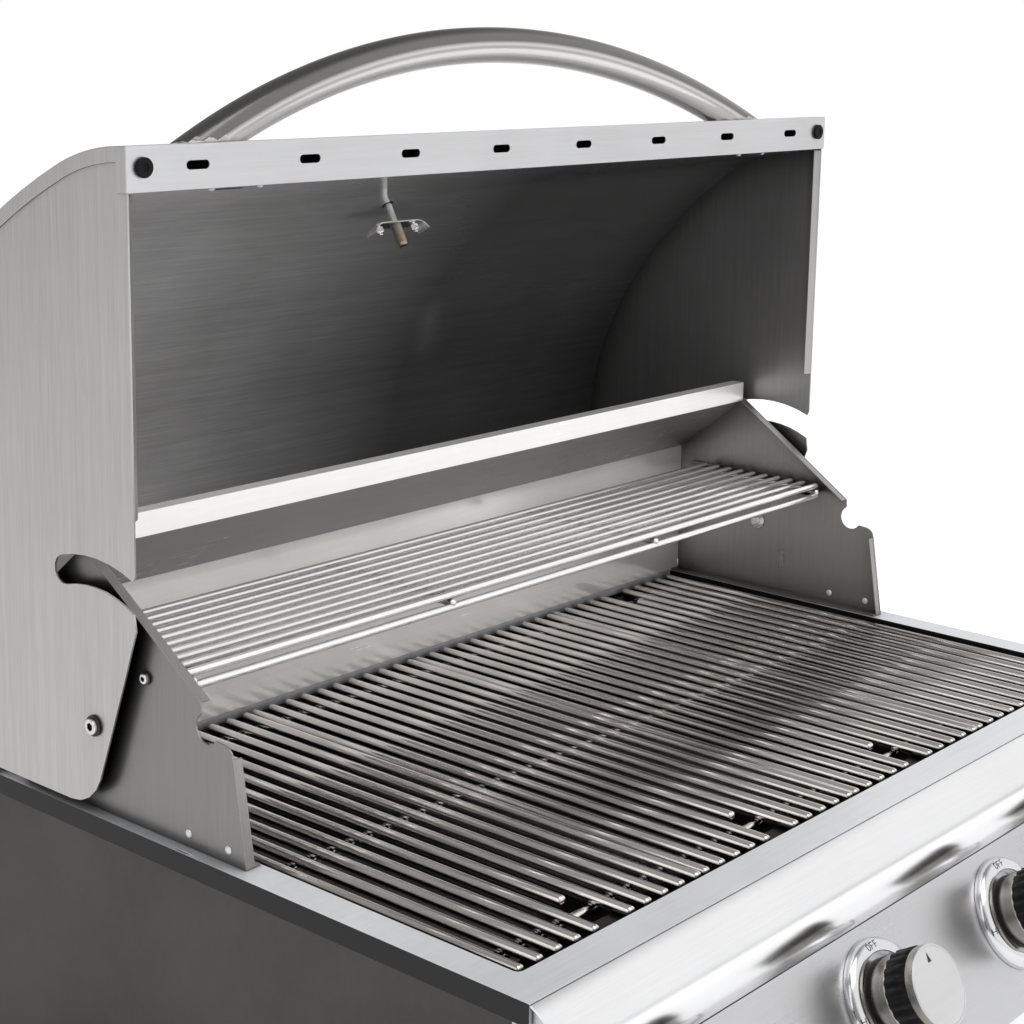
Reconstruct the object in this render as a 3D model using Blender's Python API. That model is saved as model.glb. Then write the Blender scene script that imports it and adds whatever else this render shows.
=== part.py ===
"""Built-in gas grill head with four burners, hood open.

Metres, +Z up. The origin is the centre of the underside of the firebox.
+X runs to the cook's right and -Y faces the cook.
"""
import math

import bmesh
import bpy
from mathutils import Matrix, Vector

# Clearances, sheet and rounding
GAP = 0.0003
OVERRUN = 0.006
WELD = 0.0005
SHEET = 0.0012
WALL = 0.0015
ARC_STEP = 6
HOLE_STEP = 30
CORNER_STEP = 45
ROUND_SIDES = 18
SMALL_SIDES = 12
HEX_SIDES = 6
SMOOTH_SHEET = 30
SMOOTH_TURNED = 35
SMOOTH_BAR = 50

# Top frame
DECK_WIDTH = 0.8136
DECK_DEPTH = 0.566
DECK_TOP = 0.2235
DECK_RIM = 0.015
SIDE_STRIP = 0.0244
FRONT_STRIP = 0.0291
REAR_STRIP = 0.0795
OPENING_CORNER = 0.004
OPENING_LIP = 0.007

# Firebox
FIREBOX_SIDE_INSET = 0.0193
FIREBOX_END_INSET = 0.0155
DUCT_DEPTH = 0.060
GRATE_LEDGE = 0.0345
GRATE_LEDGE_BACK = 0.0185
TAMER_LEDGE = 0.016
TAMER_LEDGE_DROP = 0.0755
BURNER_LEDGE = 0.040
LEDGE_LEG = 0.010
TUBE_HOLE = 0.0140

# Cooking grates
ZONES = 4
RODS_PER_GRATE = 11
ROD_DIAMETER = 0.008
GRATE_SIDE_PLAY = 0.006
GRATE_GAP = 0.0016
GRATE_BELOW_DECK = 0.0055
GRATE_SETBACK = 0.0064
GRATE_BACK_PLAY = 0.004
CROSS_ROD_FRONT = 0.033
CROSS_ROD_MIDDLE_SHARE = 0.488
CROSS_ROD_BACK = 0.017
FINGER_GAP_FRONT = 0.042
FINGER_GAP_BACK = 0.0323
ROD_SIDES = 8

# Flame tamers and heat dividers
TAMER_SIDE_GAP = 0.0111
TAMER_RISE = 0.040
DIVIDER_DROP = 0.0185
DIVIDER_FOOT = 0.009
INSERT_PLAY = 0.004

# Burners
BURNER_RADIUS = 0.011
BURNER_HALF_WIDTH = 0.040
BURNER_FRONT = 0.052
BURNER_BACK = 0.014
BURNER_CORNER = 0.025
VENTURI_RADIUS = 0.0120
VENTURI_BORE = 0.0085
VENTURI_BORE_DEPTH = 0.018
VENTURI_PROUD = 0.0075
OUTLET_IN_VENTURI = 0.006

# Rear wall between the windshields
REAR_WALL_HEIGHT = 0.1275
BAND_SETBACK = 0.072
BAND_BOTTOM = 0.1835
BAND_HEIGHT = 0.018
BAND_RETURN = 0.013
WALL_FOOT = 0.030

# Windshields
WING_INSET = 0.0099
WING_FLANGE = 0.008
WING_DEPTH = 0.237
WING_FRONT_LEAN = 0.012
WING_SHOULDER = 0.081
WING_SHOULDER_ROUND = 0.0085
WING_FOOT = 0.0115
NOTCH_RADIUS = 0.0107
NOTCH_FROM_HINGE = 0.1045
NOTCH_ABOVE_HINGE = 0.021
NOTCH_MOUTH = (213, 422)
NOTCH_STEP = 19
NOTCH_TIP_BACK = 0.0055
NOTCH_TIP_RISE = 0.0169
PEAK_ABOVE_BAND = 0.003
PEAK_RELIEF = 0.004

# Warming rack
RACK_RODS = 10
RACK_PITCH = 0.0142
RACK_ROD_DIAMETER = 0.006
RACK_ROD_SIDES = 6
RACK_END_PLAY = 0.0097
RACK_HEIGHT = 0.1149
RACK_SETBACK = 0.0382
RACK_CROSS_INSETS = (0.004, 0.258)
RACK_CROSS_BACK = 0.006
RACK_LOW_ROD_DROP = 0.0091
RACK_LOW_ROD_FORWARD = 0.002
RACK_LOW_ROD_SHORTER = 0.0015
RACK_LEDGE = 0.020
RACK_LEDGE_LEG = 0.008
RACK_LEDGE_FRONT = 0.003
RACK_LEDGE_BACK = 0.016

# Hood
HINGE_BACK = 0.1745
HINGE_RISE = 0.0665
HOOD_SIDE_ROOM = 0.012
HOOD_FRONT = 0.048
LIP_BOTTOM = 0.3657
LIP_HEIGHT = 0.0296
SKIN_RADII = (0.180, 0.600, 0.260)
SKIN_HEADINGS = (0, 24, 36, 90)
SKIN_BOTTOM = 0.062
SKIN_RETURN_BEHIND_WALL = 0.024
SKIN_FOLD = 0.010
LINER_SHEET = 0.0010
LINER_FLAT = 0.060
LINER_RADII = (0.110, 0.500, 0.307)
LINER_HEADINGS = (10, 36, 52, 90)
SPIT_SLOT_RADIUS = 0.10875
SPIT_SLOT_WIDTH = 0.0205
SPIT_SLOT_END = 73.7
SPIT_SLOT_EASE = 0.0018
CHEEK_MOUTH_DROP = 0.0116
CHEEK_MOUTH_RISE = 0.0037
CHEEK_KNEE = (-0.0331, 0.0383)
CHEEK_LEAN = 20.5
CHEEK_CORNER_RADIUS = 0.035
CHEEK_CORNER_STEP = 18
CHEEK_HEM = 0.0068
CHEEK_HEM_LEAN = 0.0038
CHEEK_HEM_BOTTOM = 0.151
CHEEK_HEM_TOP_DROP = 0.0018
LIP_SLOTS = 8
LIP_SLOT_INSET = 0.0589
LIP_SLOT_LENGTH = 0.0195
LIP_SLOT_HEIGHT = 0.006
LIP_SLOT_BELOW_TOP = 0.0138
BUMPER_RADIUS = 0.0067
BUMPER_HEIGHT = 0.004
BUMPER_INSET = 0.0135

# Handle
HANDLE_RADIUS = 0.014
HANDLE_END_INSET = 0.0592
HANDLE_APEX_BACK = 0.0055
HANDLE_RISE = 0.0633
HANDLE_SINK = 0.0213
HANDLE_TILT = 14
HANDLE_SIDES = 10
HANDLE_STEPS = 18

# Hinge bolts
BOLT_RADIUS = 0.004
BOLT_SIDES = 8
BOLT_HEAD_RADIUS = 0.0075
BOLT_HEAD_HEIGHT = 0.0042
BOLT_SPACER_RADIUS = 0.009
BOLT_NUT_RADIUS = 0.0065
BOLT_NUT_HEIGHT = 0.005

# Hood thermometer
DIAL_RADIUS = 0.033
DIAL_HEIGHT = 0.009
DIAL_ALONG = -0.060
DIAL_HEADING = 29.5
STEM_RADIUS = 0.0030
STEM_TIP_RADIUS = 0.0045
STEM_LENGTH = 0.062
STEM_TIP = 0.020
STRAP_LENGTH = 0.060
STRAP_WIDTH = 0.013
STRAP_DEPTH = 0.009
STRAP_LEVEL = 0.044
STRAP_END = 0.009
DIAL_STANDOFF = 0.0006
STEM_HOLE = 0.005

# Front roll and control panel
ROLL_RADIUS = 0.0433
ROLL_DROP = 0.0395
ROLL_SETBACK = 0.0177
ROLL_END = 205
PANEL_SLOPE = 30.7
PANEL_LENGTH = 0.1145
PANEL_RETURN = 0.016
PANEL_SEAM = 0.0006
CAP_RECESS = 0.003
CAP_FLANGE = 0.030

# Knobs and bezels
KNOBS = 4
KNOB_PITCH_LESS = 0.0072
KNOB_DOWN_PANEL = 0.0505
BEZEL_RADIUS = 0.0416
BEZEL_HOLE = 0.0308
BEZEL_HEIGHT = 0.0087
KNOB_STANDOFF = 0.005
KNOB_BASE_TOP = 0.0224
KNOB_GRIP_TOP = 0.0402
KNOB_TOP = 0.0474
KNOB_BASE_RADIUS = 0.0268
KNOB_GRIP_RADIUS = 0.0284
KNOB_CORE_RADIUS = 0.0225
KNOB_FACE_RADIUS = 0.0278
KNOB_EDGE = 0.0009
KNOB_BORE_DEPTH = 0.024
POINTER_LENGTH = 0.007
POINTER_WIDTH = 0.0042
POINTER_FROM_EDGE = 0.0045
POINTER_DEPTH = 0.0004
BEZEL_EDGE = 0.0012
BEZEL_ROLL = 0.0014
BEZEL_CREST = 0.0335
GRIP_RIBS = 22
GRIP_GROOVE = 0.0014
GRIP_RIB_SHARES = (0.2, 0.7)

# Valves, manifold and inlet
STEM_HOLE_RADIUS = 0.012
VALVE_STEM_RADIUS = 0.004
VALVE_BODY_RADIUS = 0.0105
VALVE_NEAR = 0.017
VALVE_FAR = 0.052
VALVE_SOCKET = 0.018
VALVE_SOCKET_PLAY = 0.0005
VALVE_TRAVEL = 0.004
VALVE_OUTLET_RADIUS = 0.006
VALVE_SEAT_RADIUS = 0.007
MANIFOLD_RADIUS = 0.011
MANIFOLD_DROP = 0.0240
MANIFOLD_LEFT_INSET = 0.1038
MANIFOLD_RIGHT_INSET = 0.0518
BRACKET_WIDTH = 0.024
BRACKET_LEG = 0.016
INLET_BEND = 0.022
INLET_STEP = 15
INLET_RADIUS = 0.008
INLET_NUT_RADIUS = 0.0105
INLET_RUN = 0.011
INLET_DROP = 0.014
INLET_NUT = 0.012

# Grease tray
TRAY_SIDE_ROOM = 0.0255
TRAY_WALL_HEIGHT = 0.042
TRAY_BACK_ROOM = 0.016
TRAY_FRONT_HEIGHT = 0.052
TRAY_FRONT_OVERHANG = 0.006
TRAY_FRONT_FOOT = 0.004
TRAY_SLOT_PLAY = 0.002
PULL_LENGTH = 0.160
PULL_REACH = 0.020
PULL_HEIGHT = 0.016
PULL_TOP = 0.046
PULL_LIP = 0.010

# Places worked out from the sizes
DECK_UNDERSIDE = DECK_TOP - SHEET
OPENING_FRONT = -DECK_DEPTH / 2 + FRONT_STRIP
OPENING_BACK = DECK_DEPTH / 2 - REAR_STRIP
OPENING_HALF = DECK_WIDTH / 2 - SIDE_STRIP
FIREBOX_WIDTH = DECK_WIDTH - 2 * FIREBOX_SIDE_INSET
FIREBOX_DEPTH = DECK_DEPTH - 2 * FIREBOX_END_INSET
FIREBOX_FRONT = -FIREBOX_DEPTH / 2
FIREBOX_TOP = DECK_UNDERSIDE - GAP
TAMER_LEDGE_TOP = DECK_TOP - TAMER_LEDGE_DROP
DIVIDER_TOP = DECK_TOP - DIVIDER_DROP
COOK_FRONT = FIREBOX_FRONT + WALL
COOK_BACK = FIREBOX_DEPTH / 2 - WALL - DUCT_DEPTH
TRAY_HALF_WIDTH = FIREBOX_WIDTH / 2 - TRAY_SIDE_ROOM
TRAY_BACK = COOK_BACK - TRAY_BACK_ROOM
ZONE_PITCH = 2 * (OPENING_HALF - GRATE_SIDE_PLAY) / ZONES
ROD_PITCH = (ZONE_PITCH - GRATE_GAP - ROD_DIAMETER) / (RODS_PER_GRATE - 1)
GRATE_LENGTH = OPENING_BACK - GRATE_BACK_PLAY - OPENING_FRONT - GRATE_SETBACK
TAMER_HALF_WIDTH = ZONE_PITCH / 2 - TAMER_SIDE_GAP
KNOB_PITCH = ZONE_PITCH - KNOB_PITCH_LESS
HINGE_Y = DECK_DEPTH / 2 - HINGE_BACK
HINGE_Z = DECK_TOP + HINGE_RISE
WING_OUTSIDE = DECK_WIDTH / 2 - WING_INSET
WING_INSIDE = WING_OUTSIDE - SHEET
RACK_HALF_LENGTH = WING_INSIDE - RACK_END_PLAY
WING_BOTTOM = DECK_TOP + GAP
ROD_Z = DECK_TOP - GRATE_BELOW_DECK
ROLL_CENTRE_Y = -DECK_DEPTH / 2 + ROLL_SETBACK
ROLL_CENTRE_Z = DECK_TOP - ROLL_DROP
CAP_OUTSIDE = DECK_WIDTH / 2 - CAP_RECESS
MANIFOLD_LEFT = MANIFOLD_LEFT_INSET - CAP_OUTSIDE
MANIFOLD_RIGHT = CAP_OUTSIDE - MANIFOLD_RIGHT_INSET
HOOD_HALF_WIDTH = WING_OUTSIDE + HOOD_SIDE_ROOM
LIP_SLOT_PITCH = 2 * (HOOD_HALF_WIDTH - LIP_SLOT_INSET) / (LIP_SLOTS - 1)
CHEEK_OUTSIDE = HOOD_HALF_WIDTH - SHEET - GAP
CHEEK_INSIDE = CHEEK_OUTSIDE - WALL
HANDLE_REACH = HOOD_HALF_WIDTH - HANDLE_END_INSET


def cosine(angle):
    return math.cos(math.radians(angle))


def sine(angle):
    return math.sin(math.radians(angle))


def clear_scene():
    for item in list(bpy.data.objects):
        bpy.data.objects.remove(item, do_unlink=True)


# Outlines

def arc(centre, radius, start, end, step=ARC_STEP):
    """Points on a circle from one angle to another, in degrees."""
    count = max(1, round(abs(end - start) / step))
    angles = [start + (end - start) * i / count for i in range(count + 1)]
    return [(centre[0] + radius * cosine(a), centre[1] + radius * sine(a)) for a in angles]


def scaled_arc(corner, run, rise, step=CORNER_STEP):
    """A quarter of an ellipse about a corner, from its run to its rise."""
    quarter = arc((0, 0), 1, 0, 90, step)
    return [(corner[0] + run * a, corner[1] + rise * b) for a, b in quarter]


def offset_path(path, distance):
    """The path moved to the left of its own direction, with mitred corners."""
    points = [Vector(p) for p in path]
    moved = []
    for i, point in enumerate(points):
        before = (point - points[i - 1]).normalized() if i > 0 else None
        after = (points[i + 1] - point).normalized() if i < len(points) - 1 else None
        before = before or after
        after = after or before
        left = Vector((-before.y, before.x))
        mean = (left + Vector((-after.y, after.x))).normalized()
        moved.append(tuple(point + mean * distance / mean.dot(left)))
    return moved


def bent_sheet(path, thickness):
    """Closed outline of a sheet bent along a path, thick to the left of it."""
    return list(path) + offset_path(path, thickness)[::-1]


def rolled_path(start, headings, radii, step=ARC_STEP):
    """Arcs joined end to end; a heading is degrees below straight back."""
    points = [start]
    for radius, first, last in zip(radii, headings, headings[1:]):
        y, z = points[-1]
        centre = (y - radius * sine(first), z - radius * cosine(first))
        points += arc(centre, radius, 90 - first, 90 - last, step)[1:]
    return points


def circle(centre, radius, step=HOLE_STEP):
    """A whole circle, one step short of its own start."""
    return arc(centre, radius, 0, 360, step)[:-1]


def rectangle(left, bottom, right, top):
    return [(left, bottom), (right, bottom), (right, top), (left, top)]


def round_rectangle(left, bottom, right, top, radius, step=CORNER_STEP):
    corners = [(right - radius, top - radius, 0), (left + radius, top - radius, 90)]
    corners += [(left + radius, bottom + radius, 180), (right - radius, bottom + radius, 270)]
    points = []
    for x, y, turn in corners:
        points += arc((x, y), radius, turn, turn + 90, step)
    return points


def stadium(centre, length, height, step=CORNER_STEP):
    reach = (length - height) / 2
    right = arc((centre[0] + reach, centre[1]), height / 2, -90, 90, step)
    left = arc((centre[0] - reach, centre[1]), height / 2, 90, 270, step)
    return right + left


# Solids

def new_object(bm, name="blank"):
    bmesh.ops.recalc_face_normals(bm, faces=bm.faces)
    mesh = bpy.data.meshes.new(name)
    bm.to_mesh(mesh)
    bm.free()
    made = bpy.data.objects.new(name, mesh)
    bpy.context.collection.objects.link(made)
    return made


def on_axis(point, level, axis):
    """A point of an outline lifted to its level along the axis X, Y or Z."""
    a, b = point
    return {"X": (level, a, b), "Y": (a, level, b), "Z": (a, b, level)}[axis]


def prism(outline, low, high, axis, holes=()):
    """An outline, with any holes, extruded between two levels of an axis."""
    bm = bmesh.new()
    edges = []
    for loop in [outline, *holes]:
        verts = [bm.verts.new(on_axis(p, low, axis)) for p in loop]
        edges += [bm.edges.new((v, verts[i - 1])) for i, v in enumerate(verts)]
    if holes:
        normal = Vector(on_axis((0, 0), 1, axis))
        bmesh.ops.triangle_fill(bm, edges=edges, use_beauty=True, normal=normal)
    else:
        bm.faces.new(list(bm.verts))
    lifted = bmesh.ops.extrude_face_region(bm, geom=list(bm.faces))["geom"]
    shift = Vector(on_axis((0, 0), high - low, axis))
    bmesh.ops.translate(bm, verts=[v for v in lifted if isinstance(v, bmesh.types.BMVert)], vec=shift)
    return new_object(bm)


def join_rings(bm, first, second):
    for i, vert in enumerate(first):
        bm.faces.new((vert, first[i - 1], second[i - 1], second[i]))


def turned(profile, sides=ROUND_SIDES):
    """A profile of (radius, height) turned round Z; a ring unless it meets the axis."""
    bm = bmesh.new()
    rings = []
    for radius, height in profile:
        if radius == 0:
            rings.append([bm.verts.new((0, 0, height))])
            continue
        turns = [360 * (i + 0.5) / sides for i in range(sides)]
        rings.append([bm.verts.new((radius * cosine(t), radius * sine(t), height)) for t in turns])
    closed = profile[0][0] > 0
    pairs = list(zip(rings, rings[1:]))
    if closed:
        pairs.append((rings[-1], rings[0]))
    for first, second in pairs:
        if len(first) == 1 or len(second) == 1:
            tip, ring = sorted((first, second), key=len)
            for i, vert in enumerate(ring):
                bm.faces.new((vert, ring[i - 1], tip[0]))
        else:
            join_rings(bm, first, second)
    return new_object(bm)


def pin(radius, low, high, sides=SMALL_SIDES):
    """A plain round bar along Z."""
    return turned([(0, low), (radius, low), (radius, high), (0, high)], sides)


def bar(radius, sides):
    """Radius to the corners of a many-sided bar with the area of the round one."""
    return radius * math.sqrt(2 * math.pi / sides / sine(360 / sides))


def flat(radius, sides):
    """Distance from the centre to the flats of that bar."""
    return bar(radius, sides) * cosine(180 / sides)


def add_tube(bm, path, radius, sides, closed=False, up=(0, 0, 1)):
    points = [Vector(p) for p in path]
    rings = []
    for i, point in enumerate(points):
        before = points[i - 1] if closed or i > 0 else point
        after = points[(i + 1) % len(points)] if closed or i < len(points) - 1 else point
        along = (after - before).normalized()
        side = along.cross(Vector(up)).normalized()
        rise = side.cross(along)
        ring = []
        for k in range(sides):
            turn = 90 + 360 * (k + 0.5) / sides
            spoke = side * cosine(turn) + rise * sine(turn)
            ring.append(bm.verts.new(point + spoke * bar(radius, sides)))
        rings.append(ring)
    for first, second in zip(rings, rings[1:]):
        join_rings(bm, first, second)
    if closed:
        join_rings(bm, rings[-1], rings[0])
    else:
        bm.faces.new(rings[0])
        bm.faces.new(rings[-1])


def tube(path, radius, sides, closed=False, up=(0, 0, 1)):
    bm = bmesh.new()
    add_tube(bm, path, radius, sides, closed, up)
    return new_object(bm)


def rods(lines, radius, sides):
    """Straight rods that don't touch each other, in one mesh."""
    bm = bmesh.new()
    for line in lines:
        add_tube(bm, line, radius, sides)
    return new_object(bm)


def merge(first, others):
    """Put meshes that don't touch each other into one object."""
    bm = bmesh.new()
    bm.from_mesh(first.data)
    for other in others:
        bm.from_mesh(other.data)
        bpy.data.objects.remove(other)
    bm.to_mesh(first.data)
    bm.free()
    return first


def combine(target, tool, operation):
    """Join or cut one solid with another and keep the result."""
    modifier = target.modifiers.new("combine", "BOOLEAN")
    modifier.operation = operation
    modifier.solver = "EXACT"
    modifier.object = tool
    depsgraph = bpy.context.evaluated_depsgraph_get()
    shaped = bpy.data.meshes.new_from_object(target.evaluated_get(depsgraph))
    target.modifiers.clear()
    target.data = shaped
    bpy.data.objects.remove(tool)
    return target


def union(target, *tools):
    for tool in tools:
        combine(target, tool, "UNION")
    return target


def cut(target, *tools):
    for tool in tools:
        combine(target, tool, "DIFFERENCE")
    return target


def moved(made, place=(0, 0, 0), turn=None):
    """Move a solid's own mesh, turned first."""
    matrix = Matrix.Translation(place)
    if turn:
        matrix = matrix @ Matrix.Rotation(math.radians(turn[0]), 4, turn[1])
    made.data.transform(matrix)
    return made


# Materials and naming

def finish_material(name, colour, roughness, metallic):
    material = bpy.data.materials.new(name)
    material.use_nodes = True
    shader = material.node_tree.nodes["Principled BSDF"]
    shader.inputs["Base Color"].default_value = (*colour, 1)
    shader.inputs["Roughness"].default_value = roughness
    shader.inputs["Metallic"].default_value = metallic
    return material


FINISHES = {
    "brushed": ((0.60, 0.60, 0.61), 0.32, 1.0),
    "polished": ((0.80, 0.80, 0.82), 0.12, 1.0),
    "dark_steel": ((0.30, 0.30, 0.31), 0.38, 1.0),
    "rod_steel": ((0.46, 0.44, 0.42), 0.28, 1.0),
    "cast": ((0.16, 0.15, 0.14), 0.60, 0.8),
    "brass": ((0.72, 0.56, 0.30), 0.35, 1.0),
    "rubber": ((0.02, 0.02, 0.02), 0.55, 0.0),
}


def node(name, made, finish, parent=None, smooth=None):
    """Name a solid, give it its own material and hang it on its joint."""
    made.name = name
    made.data.name = name
    made.data.materials.clear()
    made.data.materials.append(finish_material(name, *FINISHES[finish]))
    if smooth:
        made.data.shade_smooth()
        made.data.set_sharp_from_angle(angle=math.radians(smooth))
    if parent:
        made.parent = parent
    return made


def joint_empty(name, place, turn_x=0, parent=None):
    made = bpy.data.objects.new(name, None)
    made.location = place
    made.rotation_euler = (math.radians(turn_x), 0, 0)
    made.parent = parent
    bpy.context.collection.objects.link(made)
    return made


def both_sides(outline, low, high, side, holes=()):
    """A plate on one side, square to X, mirrored by the sign of the side."""
    ends = sorted((side * low, side * high))
    return prism(outline, ends[0], ends[1], "X", holes)


SIDES = (("left", -1), ("right", 1))


# Top frame and firebox

def make_deck():
    half_width = DECK_WIDTH / 2
    half_depth = DECK_DEPTH / 2
    outside = rectangle(-half_width, -half_depth, half_width, half_depth)
    rim_x = half_width - SHEET
    rim_y = half_depth - SHEET
    rim_hole = rectangle(-rim_x, -rim_y, rim_x, rim_y)
    opening = (-OPENING_HALF, OPENING_FRONT, OPENING_HALF, OPENING_BACK)
    hole = round_rectangle(*opening, OPENING_CORNER)
    lip_box = (opening[0] - SHEET, opening[1] - SHEET, opening[2] + SHEET, opening[3] + SHEET)
    lip_outside = round_rectangle(*lip_box, OPENING_CORNER + SHEET)
    top = prism(outside, DECK_UNDERSIDE, DECK_TOP, "Z", [hole])
    rim = prism(outside, DECK_TOP - DECK_RIM, DECK_TOP, "Z", [rim_hole])
    lip = prism(lip_outside, DECK_TOP - OPENING_LIP, DECK_TOP, "Z", [hole])
    node("deck_frame", union(top, rim, lip), "polished")


def ledge(wall_y, reach, top, inward):
    """An angle strip on a wall: a leg down the wall and a shelf off it."""
    edge = wall_y + inward * reach
    foot = wall_y - inward * WELD
    outline = [(foot, top), (edge, top), (edge, top - WALL), (wall_y + inward * WALL, top - WALL)]
    outline += [(wall_y + inward * WALL, top - LEDGE_LEG), (foot, top - LEDGE_LEG)]
    half = FIREBOX_WIDTH / 2 - WALL + WELD
    return prism(outline, -half, half, "X")


def burner_axis(index):
    return KNOB_PITCH * (index - (KNOBS - 1) / 2)


def zone_centre(index):
    return ZONE_PITCH * (index - (ZONES - 1) / 2)


def valve_point(distance):
    """Y and Z on the knobs' axis, a distance behind the control panel's face."""
    y, z = panel_point(KNOB_DOWN_PANEL)
    return y + distance * cosine(PANEL_SLOPE), z - distance * sine(PANEL_SLOPE)


def burner_height():
    return valve_point(VALVE_FAR - VALVE_OUTLET_RADIUS)[1]


def burner_ledge_top():
    return burner_height() - flat(BURNER_RADIUS, ROD_SIDES) - GAP


def make_firebox():
    half_width = FIREBOX_WIDTH / 2
    half_depth = FIREBOX_DEPTH / 2
    inside = half_width - WALL
    outside = rectangle(-half_width, -half_depth, half_width, half_depth)
    cavity = rectangle(-inside, COOK_FRONT, inside, COOK_BACK)
    duct = rectangle(-inside, COOK_BACK + WALL, inside, half_depth - WALL)
    box = prism(outside, 0, FIREBOX_TOP, "Z", [cavity, duct])
    floor_half = inside + WELD
    floor = rectangle(-floor_half, COOK_FRONT - WELD, floor_half, half_depth - WALL + WELD)
    union(box, prism(floor, 0, WALL, "Z"))
    grate_top = ROD_Z - flat(ROD_DIAMETER / 2, ROD_SIDES) - GAP
    union(box, ledge(COOK_FRONT, GRATE_LEDGE, grate_top, 1))
    union(box, ledge(COOK_BACK, GRATE_LEDGE_BACK, grate_top, -1))
    union(box, ledge(COOK_FRONT, TAMER_LEDGE, TAMER_LEDGE_TOP, 1))
    union(box, ledge(COOK_BACK, TAMER_LEDGE, TAMER_LEDGE_TOP, -1))
    union(box, ledge(COOK_BACK, BURNER_LEDGE, burner_ledge_top(), -1))
    slot_half = TRAY_HALF_WIDTH + TRAY_SLOT_PLAY
    slot_top = WALL + GAP + TRAY_WALL_HEIGHT + TRAY_SLOT_PLAY
    slot = rectangle(-slot_half, WALL, slot_half, slot_top)
    cut(box, prism(slot, -half_depth - OVERRUN, COOK_FRONT + OVERRUN, "Y"))
    holes = []
    for index in range(ZONES):
        hole = circle((burner_axis(index), burner_height()), TUBE_HOLE)
        holes.append(prism(hole, -half_depth - OVERRUN, COOK_FRONT + OVERRUN, "Y"))
    cut(box, merge(holes[0], holes[1:]))
    node("firebox", box, "brushed")


# Rear wall and windshields

def make_rear_wall():
    foot_z = DECK_TOP + GAP
    wall_top = DECK_TOP + REAR_WALL_HEIGHT
    band_y = OPENING_BACK - BAND_SETBACK
    band_z = DECK_TOP + BAND_BOTTOM
    band_top = band_z + BAND_HEIGHT
    path = [(OPENING_BACK + WALL_FOOT, foot_z), (OPENING_BACK, foot_z), (OPENING_BACK, wall_top)]
    path += [(band_y, band_z), (band_y, band_top), (band_y + BAND_RETURN, band_top)]
    half = WING_INSIDE - GAP
    node("rear_baffle", prism(bent_sheet(path, -SHEET), -half, half, "X"), "polished")


def rack_height():
    return DECK_TOP + RACK_HEIGHT


def rack_cross_height():
    return rack_height() - 2 * flat(RACK_ROD_DIAMETER / 2, RACK_ROD_SIDES) + WELD


def rack_front():
    return OPENING_BACK - RACK_SETBACK - RACK_PITCH * (RACK_RODS - 1)


def make_windshield(name, side):
    """Side wing: front edge, shoulder, spit rod notch, slope to the peak, rear slope."""
    front = OPENING_BACK - WING_DEPTH
    shoulder_z = DECK_TOP + WING_SHOULDER - WING_SHOULDER_ROUND
    shoulder = (front + WING_FRONT_LEAN + WING_SHOULDER_ROUND, shoulder_z)
    notch = (HINGE_Y - NOTCH_FROM_HINGE, HINGE_Z + NOTCH_ABOVE_HINGE)
    tip = (notch[0] + NOTCH_TIP_BACK, notch[1] + NOTCH_TIP_RISE)
    peak = (OPENING_BACK - BAND_SETBACK, DECK_TOP + BAND_BOTTOM + PEAK_ABOVE_BAND)
    outline = [(front, WING_BOTTOM), *arc(shoulder, WING_SHOULDER_ROUND, 180, 90, HOLE_STEP)]
    outline += [*arc(notch, NOTCH_RADIUS, *NOTCH_MOUTH, NOTCH_STEP), tip, peak]
    outline += [(OPENING_BACK, DECK_TOP + REAR_WALL_HEIGHT), (OPENING_BACK, WING_BOTTOM)]
    bolt_hole = circle((HINGE_Y, HINGE_Z), BOLT_RADIUS + GAP)
    wing = both_sides(outline, WING_INSIDE, WING_OUTSIDE, side, [bolt_hole])
    flange_inside = WING_OUTSIDE - WING_FLANGE
    front_line = [(front + GAP, WING_BOTTOM + GAP), (outline[1][0] + GAP, outline[1][1])]
    front_flange = bent_sheet(front_line, -SHEET)
    slope = (Vector(peak) - Vector(tip)).normalized()
    slope_line = [tuple(Vector(tip) + slope * GAP), tuple(Vector(peak) - slope * PEAK_RELIEF)]
    slope_flange = bent_sheet(offset_path(slope_line, -GAP), -SHEET)
    foot = rectangle(front + 2 * GAP, WING_BOTTOM, OPENING_BACK - GAP, WING_BOTTOM + SHEET)
    union(wing, both_sides(foot, WING_INSIDE - WING_FOOT, WING_INSIDE + WELD, side))
    union(wing, both_sides(front_flange, flange_inside, WING_INSIDE + WELD, side))
    union(wing, both_sides(slope_flange, flange_inside, WING_INSIDE + WELD, side))
    ledge_top = rack_cross_height() - flat(RACK_ROD_DIAMETER / 2, RACK_ROD_SIDES) - GAP
    angle = [(RACK_LEDGE, -SHEET), (RACK_LEDGE, 0), (SHEET, 0), (SHEET, RACK_LEDGE_LEG)]
    angle += [(-WELD, RACK_LEDGE_LEG), (-WELD, -SHEET)]
    shelf = [(side * (WING_INSIDE - x), ledge_top + z) for x, z in angle]
    shelf_back = OPENING_BACK - RACK_LEDGE_BACK
    union(wing, prism(shelf, rack_front() + RACK_LEDGE_FRONT, shelf_back, "Y"))
    node(name, wing, "brushed")


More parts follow.
